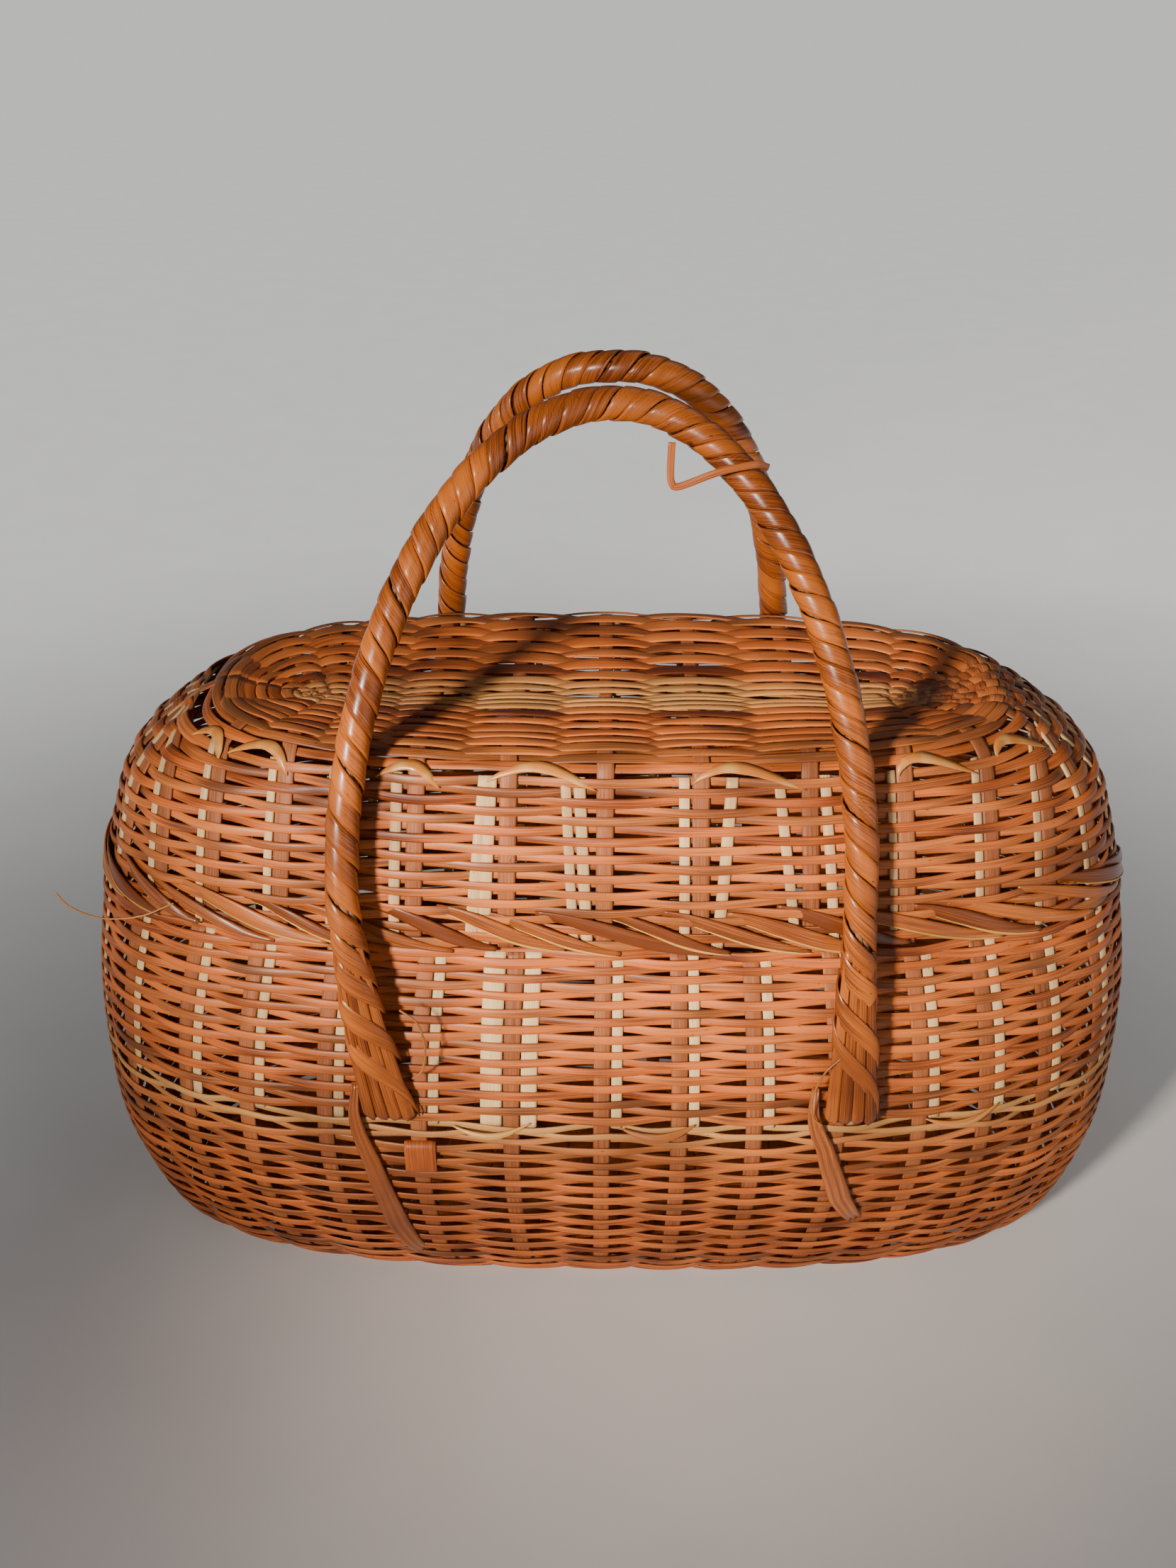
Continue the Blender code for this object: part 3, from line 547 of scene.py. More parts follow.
stake_splint = splint_material("stained_stake", (0.10, 0.026, 0.008), (0.44, 0.14, 0.045),
                               (0.86, 0.58, 0.27), 0.5, 0.0, 1.2)
stake_runs = np.linspace(STAKE_INSET, body_runs[-1] - STAKE_INSET, STAKE_STEPS)
all_stakes = np.arange(len(body_marks))
corners = stake_strips(body_outline, stake_runs, [body_marks] * STAKE_STEPS, all_stakes, 0.0, STAKE_WIDTH)
stakes = strip_mesh("body_stakes", corners, False, flat_tone(len(all_stakes), *STAKE_TONE), 0.0, stake_splint)
fit_piece(stakes, "basket", "brown_splint")
bye_runs = np.linspace(pale_run + STAKE_INSET, body_runs[-1] - STAKE_INSET, BYE_STEPS)
wide_stake = stake_near(body_marks, ring_at(body_outline, pale_run), WIDE_BYE_PLACE)
beside = STAKE_WIDTH / 2 + STAKE_GAP
bye_sets = (("bye_stakes", all_stakes[all_stakes != wide_stake], beside + BYE_WIDTH / 2, BYE_WIDTH),
            ("wide_bye_stake_left", [wide_stake], -beside - BYE_WIDTH, BYE_WIDTH * 2),
            ("wide_bye_stake_right", [wide_stake], beside + BYE_WIDTH * 0.75, BYE_WIDTH * 1.5))
for name, which, aside, width in bye_sets:
    corners = stake_strips(body_outline, bye_runs, [body_marks] * BYE_STEPS, which, aside, width)
    bye = strip_mesh(name, corners, False, BYE_TONE, flat_pale(len(which), *BYE_PALE), stake_splint)
    fit_piece(bye, "basket", "pale_splint")

# The base: a check weave of broad splints, under and over each other both ways, that fills the oval
# inside the wall's first weaver. The basket stands on it.
BASE_STRIP = 0.011
BASE_PITCH = 0.0118
BASE_STEPS = 60
BASE_LIFT = 0.0006
BASE_SWING_SHARE = 0.6
BASE_TONE = (0.35, 0.1)
BASE_PALE = 0.1


def base_strips(half_long, half_wide, level):
    """Strips one way across the base, each as long as the oval there: x = a (1 - |y/b|^n)^(1/n). They
    rise and dip as the cosine of their place in strips."""
    count = int(half_wide / BASE_PITCH)
    offset = np.arange(-count, count + 1) * BASE_PITCH
    reach = half_long * (1 - np.abs(offset / half_wide) ** OVAL_EXPONENT) ** (1 / OVAL_EXPONENT)
    x = reach[:, None] * np.linspace(-1, 1, BASE_STEPS * 2 + 1)
    turn = np.arange(-count, count + 1)[:, None]
    z = level + WEAVER_THICKNESS * BASE_SWING_SHARE * np.cos(math.pi * (x / BASE_PITCH + turn))
    return x, offset[:, None] + 0 * x, z


pad_low, pad_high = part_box("base_pad")
for name, long_way in (("base_long_splints", True), ("base_cross_splints", False)):
    size = (pad_high.x, pad_high.y) if long_way else (pad_high.y, pad_high.x)
    a, b, z = base_strips(*size, (pad_low.z + pad_high.z) / 2)
    sign = 1 if long_way else -1
    z = (z - pad_high.z / 2) * sign + pad_high.z / 2 + BASE_LIFT
    place = np.stack([a, b, z] if long_way else [b, a, z], axis=-1)
    across = np.broadcast_to((0.0, 1.0, 0.0) if long_way else (-1.0, 0.0, 0.0), place.shape)
    up = np.broadcast_to((0.0, 0.0, 1.0), place.shape)
    corners = splints(place, across, up, BASE_STRIP, WEAVER_THICKNESS)
    strips = strip_mesh(name, corners, False, flat_tone(len(a), *BASE_TONE), BASE_PALE, weaver_splint)
    fit_piece(strips, "basket", "red_splint", *(["base_pad"] if long_way else []))

# The lid's weavers: flat splints like the body's, tight and even round the side and wider apart on the
# flat top. There each ring is shorter than the last one, and they close on a pale spine between two
# poles.
LID_OUTLINE_SHARES = ((1.0, 1.0, 0.0), (0.962, 0.997, 0.387), (0.914, 0.946, 0.687),
                      (0.755, 0.865, 0.99), (0.68, 0.47, 0.985), (0.574, 0.0, 0.965))
LID_STAKES = (-0.1675, -0.1466, -0.12, -0.0965, -0.071, -0.0375, -0.0025, 0.032, 0.0715, 0.1065, 0.1385,
              0.1615)
LID_END_STAKES = 5
MARK_GAP = 1e-6
LID_BYE_WIDTH = 0.0033
LID_BYE_PALE = (0.75, 0.12)
# For the stake near each place: bye-stakes by how far aside they lie below and above, and their width.
LID_BYES = ((-0.071, (-0.0072, -0.0072, 0.0042)),
            (-0.0375, (-0.0135, -0.0085, 0.0048), (-0.0085, -0.0065, 0.0048)),
            (-0.0025, (-0.0062, -0.0095, 0.0044), (-0.0112, -0.0145, 0.0038)),
            (0.032, (-0.006, -0.006, 0.004), (0.0062, 0.0115, 0.0045)),
            (0.0715, (-0.0055, -0.0115, 0.004), (0.009, 0.0055, 0.004)))
LID_HEIGHT = 0.0745
BAND_SPREAD = 1.05
BAND_PITCH = 0.0036
BAND_START = 0.0024
BAND_PALE = 0.05
LID_MOST_SPREAD = 1.6
TOP_PITCH = 0.0047
TOP_PITCH_GROWTH = 0.0003
TOP_MOST_ROWS = 40
TOP_WIDTH = 0.0046
TOP_WIDTH_SHARE = 0.98
TOP_SWING_SHARE = 0.95
TOP_PALE = 0.08
TOP_LINE_STEPS = 400
SPINE_ROWS = 5
SPINE_PITCH = 0.0029
SPINE_ROOM = 0.0022
SPINE_LAST_GAP = 0.0012
SPINE_PALE = 0.7
SHOULDER_RUN = 0.0695
SPINE_SHIFT = -0.014
POLE_REACH_SHARE = 0.93

band_low, band_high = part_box("lid_band")
lid_outline = smooth_outline(LID_OUTLINE_SHARES, (band_high.x, band_high.y, LID_HEIGHT)) + (0, 0, band_low.z)
lid_runs = run_along(lid_outline[:, 1:])
spine_end = lid_outline[-1, 0]
lid_marks = stake_marks(ring_at(lid_outline, SHOULDER_RUN), LID_STAKES, LID_END_STAKES)


def band_marks(runs):
    """Where the stakes cross the rings of the side band: each at one x, which grows a little downwards."""
    spread = np.interp(runs, (0, SHOULDER_RUN), (BAND_SPREAD, 1.0))
    return [stake_marks(ring_at(lid_outline, run), np.array(LID_STAKES) * share, LID_END_STAKES)
            for run, share in zip(runs, spread)]


def top_shift(runs):
    """How far the rings of the lid's top lie off the middle: nothing at the shoulder, all at the spine."""
    b = np.interp(runs, lid_runs, lid_outline[:, 1])
    edge = np.interp(SHOULDER_RUN, lid_runs, lid_outline[:, 1])
    return SPINE_SHIFT * np.clip(1 - b / edge, 0, 1)


def top_marks(runs):
    """Where the stakes cross the rings of the lid's top. In plan each stake is a straight line from the
    shoulder: across to the other side, or to the nearer pole where it starts beyond it. The marks stay
    in the order of their stakes."""
    edge = ring_at(lid_outline, SHOULDER_RUN)
    edge_runs = run_along(edge)
    start = read_at(lid_marks * edge_runs[-1], edge_runs, edge[:, :2])
    pole = spine_end * POLE_REACH_SHARE
    end = np.stack([np.clip(start[:, 0], -pole, pole), np.full(len(start), SPINE_SHIFT)], axis=1)
    share = np.linspace(0, 1, TOP_LINE_STEPS)[:, None, None]
    line = start * (1 - share) + end * share
    rows = []
    for run, shift in zip(runs, top_shift(runs)):
        a, b, _ = read_at(run, lid_runs, lid_outline)
        inside = (np.abs(line[..., 0] / a) ** OVAL_EXPONENT
                  + np.abs((line[..., 1] - shift) / b) ** OVAL_EXPONENT)
        nearest = np.argmin(np.abs(inside - 1), axis=0)
        cross = line[nearest, np.arange(len(start))]
        ring = ring_at(lid_outline, run, shift)
        ring_runs = run_along(ring)
        angle = np.unwrap(np.arctan2((ring[:, 1] - shift) / b, ring[:, 0] / a))
        wanted = np.arctan2((cross[:, 1] - shift) / b, cross[:, 0] / a) % (2 * math.pi)
        mark = np.interp(wanted, angle, ring_runs / ring_runs[-1])
        mark = np.where((lid_marks > 0.9) & (mark < 0.1), mark + 1, mark)
        mark = np.where((lid_marks < 0.1) & (mark > 0.9), mark - 1, mark)
        rows.append(np.maximum.accumulate(mark + np.arange(len(mark)) * MARK_GAP))
    return rows


band_runs = np.arange(BAND_START, SHOULDER_RUN, BAND_PITCH)
band_rows = woven_rows("lid_band_weavers", lid_outline, band_runs, band_marks(band_runs),
                       BAND_PITCH * WEAVER_WIDTH_SHARE, WEAVER_SWING, BAND_PALE, spread=LID_MOST_SPREAD)
fit_piece(band_rows, "lid", "red_splint", "lid_band")
top_pitches = np.minimum(BAND_PITCH + TOP_PITCH_GROWTH * np.arange(TOP_MOST_ROWS), TOP_PITCH)
top_runs = SHOULDER_RUN + np.cumsum(top_pitches)
top_end = lid_runs[-1] - SPINE_ROWS * SPINE_PITCH - SPINE_ROOM
top_runs = top_runs[top_runs < top_end]
top_runs = SHOULDER_RUN + (top_runs - SHOULDER_RUN) * (top_end - SHOULDER_RUN) / (top_runs[-1] - SHOULDER_RUN)
spine_runs = lid_runs[-1] - SPINE_LAST_GAP - SPINE_PITCH * np.arange(SPINE_ROWS)[::-1]
top_pale = [TOP_PALE] * len(top_runs) + [SPINE_PALE] * SPINE_ROWS
top_runs = np.concatenate([top_runs, spine_runs])
top_width = np.minimum(np.gradient(top_runs) * TOP_WIDTH_SHARE, TOP_WIDTH)
top_rows = woven_rows("lid_top_weavers", lid_outline, top_runs, top_marks(top_runs), top_width,
                      WEAVER_SWING * TOP_SWING_SHARE, top_pale, shift=top_shift(top_runs),
                      first=len(band_runs), spread=LID_MOST_SPREAD)
fit_piece(top_rows, "lid", "red_splint", "lid_dome")

# The lid's stakes: brown splints up the side and over the top, to the other side or to a pole, with
# raw bye-stakes beside them on the side band only.
BAND_STEPS = 24
TOP_STEPS = 34
STAKE_TAPER = 0.8
band_steps = np.linspace(STAKE_INSET, SHOULDER_RUN, BAND_STEPS)
top_steps = np.linspace(SHOULDER_RUN + STAKE_INSET * 2, lid_runs[-1] - STAKE_INSET / 2, TOP_STEPS)
lid_steps = np.concatenate([band_steps, top_steps])
lid_step_marks = band_marks(band_steps) + top_marks(top_steps)
lid_all = np.arange(len(lid_marks))
taper = np.interp(lid_steps, (SHOULDER_RUN, lid_runs[-1]), (1.0, STAKE_TAPER))
corners = stake_strips(lid_outline, lid_steps, lid_step_marks, lid_all, 0.0, STAKE_WIDTH * taper,
                       shift=top_shift(lid_steps))
lid_stakes = strip_mesh("lid_stakes", corners, False, flat_tone(len(lid_all), *STAKE_TONE), 0.0, stake_splint)
fit_piece(lid_stakes, "lid", "brown_splint")
usual = -beside - LID_BYE_WIDTH / 2
special = {stake_near(lid_marks, ring_at(lid_outline, SHOULDER_RUN), x): sets for x, *sets in LID_BYES}
plain = [stake for stake in lid_all if stake not in special]
bye_sets = [(plain, usual, usual, LID_BYE_WIDTH)]
bye_sets += [([stake], *numbers) for stake, sets in special.items() for numbers in sets]
corners = np.concatenate([stake_strips(lid_outline, band_steps, band_marks(band_steps), which,
                                       np.linspace(low, high, BAND_STEPS), width)
                          for which, low, high, width in bye_sets])
lid_byes = strip_mesh("lid_bye_stakes", corners, False, BYE_TONE, flat_pale(len(corners), *LID_BYE_PALE),
                      stake_splint)
fit_piece(lid_byes, "lid", "pale_splint")

# The lid's border: broad glossy splints, ten more than there are stakes, that come out of the weave,
# slant down over the mouth and tuck in behind the next one. The folded lower edges of some show raw.
BORDER_ADDED = 10
BORDER_WIDTH = 0.006
BORDER_THICKNESS = 0.0009
BORDER_TONE = (-0.12, 0.34)
BORDER_PALE = 0.02
BORDER_LENGTH = 0.058
BORDER_LENGTH_SPREAD = (0.8, 1.15)
BORDER_WIDTH_SPREAD = (0.75, 1.15)
BORDER_UNEVEN = 0.22
BORDER_LIFT_SPREAD = 0.0008
BORDER_HEIGHTS = (0.0165, 0.014, 0.009, 0.0035, -0.0005)
BORDER_OUTS = (-0.0018, 0.0010, 0.0023, 0.0022, 0.0004)
BORDER_WIDTH_SHARES = (0.5, 0.85, 1.0, 0.75, 0.2)
BORDER_TWISTS = (0.25, 0.05, -0.1, -0.35, -0.7)
BORDER_STEPS = 28
FOLD_WIDTH = 0.0017
FOLD_THICKNESS = 0.0005
FOLD_TURN = 0.9
FOLD_PROUD = 0.0002
FOLDED_SHARE = 0.55
FOLD_SPAN = (-0.35, 1.02)
FOLD_TONE = 0.6
FOLD_PALE = (0.85, 0.1)
varnished_splint = splint_material("varnished_splint", (0.13, 0.026, 0.005), (0.58, 0.155, 0.026),
                                   (0.78, 0.42, 0.10), 0.36, 0.2, 1.4, bump=0.3)


def eased(values, count):
    """Smooth values near a few even ones: straight runs between them, each value then the mean of those
    within a fifth of the count to either side."""
    even = np.interp(np.linspace(0, len(values) - 1, count), np.arange(len(values)), values)
    span = count // 5
    padded = np.pad(even, span, mode="edge")
    return np.convolve(padded, np.ones(2 * span + 1) / (2 * span + 1), mode="valid")


def turned_by(turn, across, face):
    """Two directions of a strip turned about its line: across cos + face sin, face cos - across sin."""
    return across * np.cos(turn) + face * np.sin(turn), face * np.cos(turn) - across * np.sin(turn)


def slanting_splints(ring, marks, lengths, lifts):
    """Splints laid along a ring from each mark: heights, outs, widths and twists follow the eased
    tables along each, and every splint's height is lifted a little by its own amount."""
    runs = run_along(ring)
    t = np.linspace(0, 1, BORDER_STEPS)
    place = (marks[:, None] * runs[-1] + (t - 0.5) * lengths[:, None]) % runs[-1]
    point = read_at(place, runs, ring)
    upward = np.array((0.0, 0.0, 1.0))
    out = np.cross(unit(np.gradient(point, axis=1)), upward)
    rise = eased(BORDER_HEIGHTS, BORDER_STEPS)[None] + lifts[:, None]
    for axis in (0, 1):
        point[..., axis] *= np.interp(rise, lid_outline[:, 2] - lid_outline[0, 2],
                                      lid_outline[:, axis] / lid_outline[0, axis])
    point = point + upward * rise[..., None] + out * eased(BORDER_OUTS, BORDER_STEPS)[None, :, None]
    line = unit(np.gradient(point, axis=1))
    across = unit(np.cross(out, line))
    turn = eased(BORDER_TWISTS, BORDER_STEPS)[None, :, None]
    across, face = turned_by(turn, across, np.cross(line, across))
    return point, across, face, eased(BORDER_WIDTH_SHARES, BORDER_STEPS)[None]


count = len(lid_marks) + BORDER_ADDED
border_marks = (np.arange(count) + chance.uniform(-BORDER_UNEVEN, BORDER_UNEVEN, count)) / count
lengths = BORDER_LENGTH * chance.uniform(*BORDER_LENGTH_SPREAD, count)
lifts = chance.normal(0, BORDER_LIFT_SPREAD, count)
point, across, face, shares = slanting_splints(ring_at(lid_outline, 0.0), border_marks, lengths, lifts)
width = shares * BORDER_WIDTH * chance.uniform(*BORDER_WIDTH_SPREAD, (count, 1))
corners = splints(point, across, face, width, BORDER_THICKNESS)
border = strip_mesh("lid_border_splints", corners, False, flat_tone(count, *BORDER_TONE), BORDER_PALE,
                    varnished_splint)
fit_piece(border, "lid", "honey_splint", "lid_border")
fold_shares = np.sin(math.pi * np.clip(np.linspace(*FOLD_SPAN, BORDER_STEPS), 0.02, 1)) ** 0.8
folded = np.flatnonzero(chance.uniform(0, 1, count) < FOLDED_SHARE)
edge = point - across * (width * 0.5)[..., None] + face * FOLD_PROUD
fold_across, fold_face = turned_by(FOLD_TURN, across[folded], face[folded])
corners = splints(edge[folded], fold_across, fold_face, (fold_shares * FOLD_WIDTH)[None], FOLD_THICKNESS)
folds = strip_mesh("lid_border_folds", corners, False, FOLD_TONE, flat_tone(len(folded), *FOLD_PALE),
                   varnished_splint)
fit_piece(folds, "lid", "pale_splint")

# The body's rim: the last two weavers, flat splints woven in like the others but a little proud of the
# wall, close under the lid's border.
RIM_PROUD = 0.0006
RIM_ROW_DEPTHS = (0.0047, 0.0014)
RIM_WANDER = 0.0002
rim_runs = body_runs[-1] - np.array(RIM_ROW_DEPTHS)
rim_rows = woven_rows("body_rim_weavers", body_outline + (RIM_PROUD, RIM_PROUD, 0), rim_runs,
                      [body_marks] * len(rim_runs), BODY_PITCH, WEAVER_SWING, 0.0,
                      first=1 + len(upper_runs), wander=RIM_WANDER)
fit_piece(rim_rows, "basket", "brown_splint", "body_rim")

# The handles: a bundle of rods along each middle line, wound with three splints side by side. The
# turns lie closer at the top than near the feet, and narrow slits between them show the rods.
# For each handle: how far its legs stand to the left and right, the power of its bow, how far its feet
# shift aside, and which way it faces.
HANDLES = (("front", (0.098, 0.0905), 2.0, (0.0142, 0.002), 1),
           ("rear", (0.0735, 0.0735), 2.3, (0.0, 0.0), -1))
FOOT_SHIFT_POWER = 1.3
CORE_RADIUS = 0.0045
BOW_HEIGHT = 0.2
TOP_OFFSET = 0.03
LEAN_POWER = 2.2
LINE_POINTS = 400
ROD_RADIUS = 0.0017
ROD_COUNT = 7
ROD_SPREAD = 1.02
ROD_TONE = (0.4, 0.2)
ROD_PALE = 0.1
WRAP_RADIUS = 0.0053
WRAP_THICKNESS = 0.0007
WRAP_TILT = 0.0006
# For each wrapping splint: its place and width in shares of the pitch, and how far it stands proud.
WRAP_SPLINTS = (("first", -0.33, 0.32, 0.0), ("second", 0.0, 0.34, 0.0003), ("third", 0.33, 0.31, 0.0))
PITCH_AT_LEGS = 0.037
PITCH_ADDED_AT_FEET = 0.1
FEET_REACH = 0.03
WRAP_START = 0.03
WRAP_MOST_WIDTH = 0.0112
WRAP_TONE, WRAP_TONE_SPREAD = 0.3, 0.08
# The length and size of each slow change along the wrapping.
WIDTH_WAVE = (0.07, 0.03)
PLACE_WAVE = (0.11, 0.015)
TONE_WAVE = (0.09, 0.25)
WAVE_SHARES = (1.0, 0.61, 0.37)
WAVE_HEIGHT = 1.6
FLARE_HEIGHT = 0.186
FLARE_HALF_WIDTH = 0.0106
FLARE_HALF_DEPTH = 0.0024
PITCH_AT_TOP = 0.025
STEPS_PER_TURN = 22
TURN_SHARES = np.linspace(0, 2 * math.pi, 8, endpoint=False)
ROUND_SECTION = np.stack([-np.sin(TURN_SHARES), np.cos(TURN_SHARES)], axis=1)
WRAP_SECTION = np.array([(-0.5, 0.0), (-0.48, 0.8), (-0.3, 1.0), (-0.1, 1.1), (0.1, 1.1), (0.3, 1.0),
                         (0.48, 0.8), (0.5, 0.0), (0.25, 0.0), (-0.25, 0.0)])


def handle_line(side, spans, power, shifts):
    """Middle line of a handle as drawn at the front, from the left foot to the right one. The bow is
    half a superellipse over the legs, which move aside as a power of how far they have come down. The
    whole leans in as a power of its height's share."""
    core_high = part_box(f"{side}_handle_core")[1]
    foot_low, foot_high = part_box(f"{side}_left_foot")
    top, low = core_high.z - CORE_RADIUS, foot_low.z
    depth = abs(foot_low.y + foot_high.y) / 2
    turn = np.linspace(math.pi, 0, LINE_POINTS)
    bow_x = np.where(np.cos(turn) < 0, *spans) * np.sign(np.cos(turn)) * np.abs(np.cos(turn)) ** (2 / power)
    bow_z = BOW_HEIGHT + (top - BOW_HEIGHT) * np.abs(np.sin(turn)) ** (2 / power)
    leg_z = np.linspace(BOW_HEIGHT, low, LINE_POINTS // 3)[1:]
    drop = ((BOW_HEIGHT - leg_z) / (BOW_HEIGHT - low)) ** FOOT_SHIFT_POWER
    x = np.concatenate([(-spans[0] + drop * shifts[0])[::-1], bow_x, spans[1] + drop * shifts[1]])
    z = np.concatenate([leg_z[::-1], bow_z, leg_z])
    lean = ((z - low) / (top - low)) ** LEAN_POWER
    points = np.stack([x, -(depth + (TOP_OFFSET - depth) * lean), z], axis=1)
    runs = run_along(points)
    return read_at(np.linspace(0, runs[-1], LINE_POINTS), runs, points)


def line_frame(line, places):
    """Points of a line at runs along it, with the directions aside and over there. Both are square to
    the line, and aside also to the y axis."""
    runs = run_along(line)
    ahead = unit(read_at(places, runs, np.gradient(line, runs, axis=0)))
    aside = unit(np.cross(ahead, (0.0, 1.0, 0.0)))
    return read_at(places, runs, line), aside, np.cross(ahead, aside)


def leg_oval(height, foot):
    """Half width and half depth of a leg at a height: both the wrapping's radius above the flare, and
    evenly wider and flatter down to the foot."""
    return (np.interp(height, (foot, FLARE_HEIGHT), (half, WRAP_RADIUS))
            for half in (FLARE_HALF_WIDTH, FLARE_HALF_DEPTH))


def wound_splint(line, phase, middle, width, proud):
    """Corners of a splint wound round a line: each step has one angle, and its corners lie at the run
    middle + width * share. They stand on the leg's oval by the section, and proud of it, with one edge
    tilted up."""
    places = np.clip(middle[:, None] + width[:, None] * WRAP_SECTION[:, 0], 0, run_along(line)[-1])
    point, aside, over = line_frame(line, places)
    raised = WRAP_THICKNESS * WRAP_SECTION[:, 1] - WRAP_TILT * WRAP_SECTION[:, 0] + proud
    wide, deep = leg_oval(point[..., 2], line[:, 2].min())
    sideways = np.cos(phase)[:, None] * (wide + raised)
    outwards = np.sin(phase)[:, None] * (deep + raised)
    corners = point + aside * sideways[..., None] + over * outwards[..., None]
    return corners[None, :, ::-1]


def wavy(places, length, size):
    """Slow chance along a run: the sum of three sines of that length or shorter, with chance phases."""
    return sum(size * np.sin(2 * math.pi * places / (length * share) + chance.uniform(0, 2 * math.pi))
               for share in WAVE_SHARES) / WAVE_HEIGHT


rod_splint = splint_material("handle_rod", (0.06, 0.018, 0.006), (0.40, 0.15, 0.05), (0.66, 0.44, 0.22),
                             0.55, 0.0, 1.4)
handle_splint = splint_material("handle_wrap", (0.09, 0.017, 0.003), (0.50, 0.128, 0.014),
                                (0.70, 0.42, 0.16), 0.32, 0.25, 1.7, bump=0.4)
handle_lines = {}
for side, spans, power, shifts, facing in HANDLES:
    line = handle_line(side, spans, power, shifts)
    if facing < 0:
        line = line * (-1, -1, 1)
    handle_lines[side] = line
    core_line = line[line[:, 2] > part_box(f"{side}_handle_core")[0].z]
    point, aside, over = line_frame(core_line, run_along(core_line))
    ring = (np.arange(ROD_COUNT) / ROD_COUNT * 2 * math.pi)[:, None, None]
    rods = point + (CORE_RADIUS - ROD_RADIUS) * ROD_SPREAD * (np.cos(ring) * aside + np.sin(ring) * over)
    rods = np.concatenate([rods, point[None]])
    aside, over = (np.broadcast_to(value, rods.shape) for value in (aside, over))
    corners = splints(rods, aside, over, ROD_RADIUS, ROD_RADIUS, ROUND_SECTION)
    core = strip_mesh(f"{side}_handle_rods", corners, False, flat_tone(len(rods), *ROD_TONE), ROD_PALE,
                      rod_splint)
    fit_piece(core, f"{side}_handle", "pale_splint", f"{side}_handle_core")
    runs = run_along(line)
    pitch = PITCH_AT_LEGS + (PITCH_AT_TOP - PITCH_AT_LEGS) * np.sin(math.pi * runs / runs[-1])
    pitch += PITCH_ADDED_AT_FEET * np.exp(-np.minimum(runs, runs[-1] - runs) / FEET_REACH)
    turned = np.concatenate([[0], np.cumsum(np.diff(runs) / pitch[1:])])
    first, last = np.interp((WRAP_START, runs[-1] - WRAP_START), runs, turned)
    turns = round(last - first) + 0.5
    turned = (turned - first) / (last - first) * turns
    phase = np.linspace(math.pi, math.pi - 2 * math.pi * turns, int((last - first) * STEPS_PER_TURN))
    middle = np.interp((math.pi - phase) / (2 * math.pi), turned, runs)
    local = np.interp(middle, runs, pitch)
    for label, offset, share, proud in WRAP_SPLINTS:
        width = np.minimum(local * (share + wavy(middle, *WIDTH_WAVE)), WRAP_MOST_WIDTH)
        centre = middle + local * (offset + wavy(middle, *PLACE_WAVE))
        corners = wound_splint(line, phase, centre, width, proud)
        tone = WRAP_TONE + chance.normal(0, WRAP_TONE_SPREAD) + wavy(middle, *TONE_WAVE)[None]
        wrap = strip_mesh(f"{side}_handle_wrap_{label}", corners, False, tone, 0.0, handle_splint)
        fit_piece(wrap, f"{side}_handle", "honey_splint",
                  *([f"{side}_handle_wrap"] if label == "first" else []))

# The feet: four flat splints that fan out from under the last long turns of the wrapping, down to
# the pale row, where their ends dip under it.
FOOT_SPLINTS = 4
FOOT_STEPS = 40
FOOT_RISE = 0.078
FOOT_START = -0.001
FOOT_DIP = 0.003
FOOT_DIP_REACH = 0.0015
FOOT_INSIDE = 0.0006
FOOT_SPREAD = 0.96
FOOT_ROUND = 0.6
FOOT_WIDTH_SHARE = 0.47
FOOT_THICKNESS = 0.0009
FOOT_TONE = (0.15, 0.12)
for side, *_, facing in HANDLES:
    line = handle_lines[side] * (facing, facing, 1)
    middle = len(line) // 2
    for label, leg in (("left", line[:middle]), ("right", line[middle:][::-1])):
        z = leg[0, 2] + FOOT_START + np.linspace(0, FOOT_RISE, FOOT_STEPS)
        wide, deep = leg_oval(z, leg[0, 2])
        shares = ((np.arange(FOOT_SPLINTS) + 0.5) / FOOT_SPLINTS * 2 - 1)[:, None] * FOOT_SPREAD
        x = np.interp(z, leg[:, 2], leg[:, 0]) + shares * wide
        y = np.interp(z, leg[:, 2], leg[:, 1]) - deep * np.sqrt(1 - shares ** 2) + FOOT_INSIDE
        y = y + FOOT_DIP * np.exp((leg[0, 2] - z) / FOOT_DIP_REACH)
        rows = np.stack([x, y, z + 0 * x], axis=2) * (facing, facing, 1)
        out = (0.0, -facing, 0.0) + shares[..., None] * (FOOT_ROUND * facing, 0.0, 0.0) + 0 * rows
        across = np.cross(out, unit(np.gradient(rows, axis=1)))
        corners = splints(rows, across, out, wide * FOOT_WIDTH_SHARE, FOOT_THICKNESS)
        foot = strip_mesh(f"{side}_{label}_foot_splints", corners, False, flat_tone(FOOT_SPLINTS, *FOOT_TONE),
                          0.0, handle_splint)
        fit_piece(foot, f"{side}_handle", "honey_splint", f"{side}_{label}_foot")

# The ties: glossy ribbed straps that come from beside each foot and run slanting down over the lower
# weave. They widen towards the bottom and dive into the weave there.
TIE_STEPS = 36
TIE_RISE = 0.021
TIE_SHARES = (0, 0.16, 0.38, 0.78, 1)
TIE_FROM_LEFT = (0.001, 0.0006, 0.006, 0.0142)
TIE_FROM_RIGHT = 0.0088
TIE_WIDTHS = (0.003, 0.006, 0.008, 0.0092, 0.0065)
TIE_THICKNESS = 0.0013
TIE_TONE = 0.35
TIE_END_LIFT = 0.002
TIE_OUT_SHARES = (0, 0.12, 0.3, 0.9, 1)
TIE_OUTS = (0.001, 0.0035, 0.0022, 0.0018, -0.001)
RIB_COUNT = 3
rib_across = np.linspace(-0.5, 0.5, RIB_COUNT * 4 + 1)
rib_out = 0.35 + 0.65 * np.abs(np.sin(math.pi * (rib_across + 0.5) * RIB_COUNT)) ** 0.6
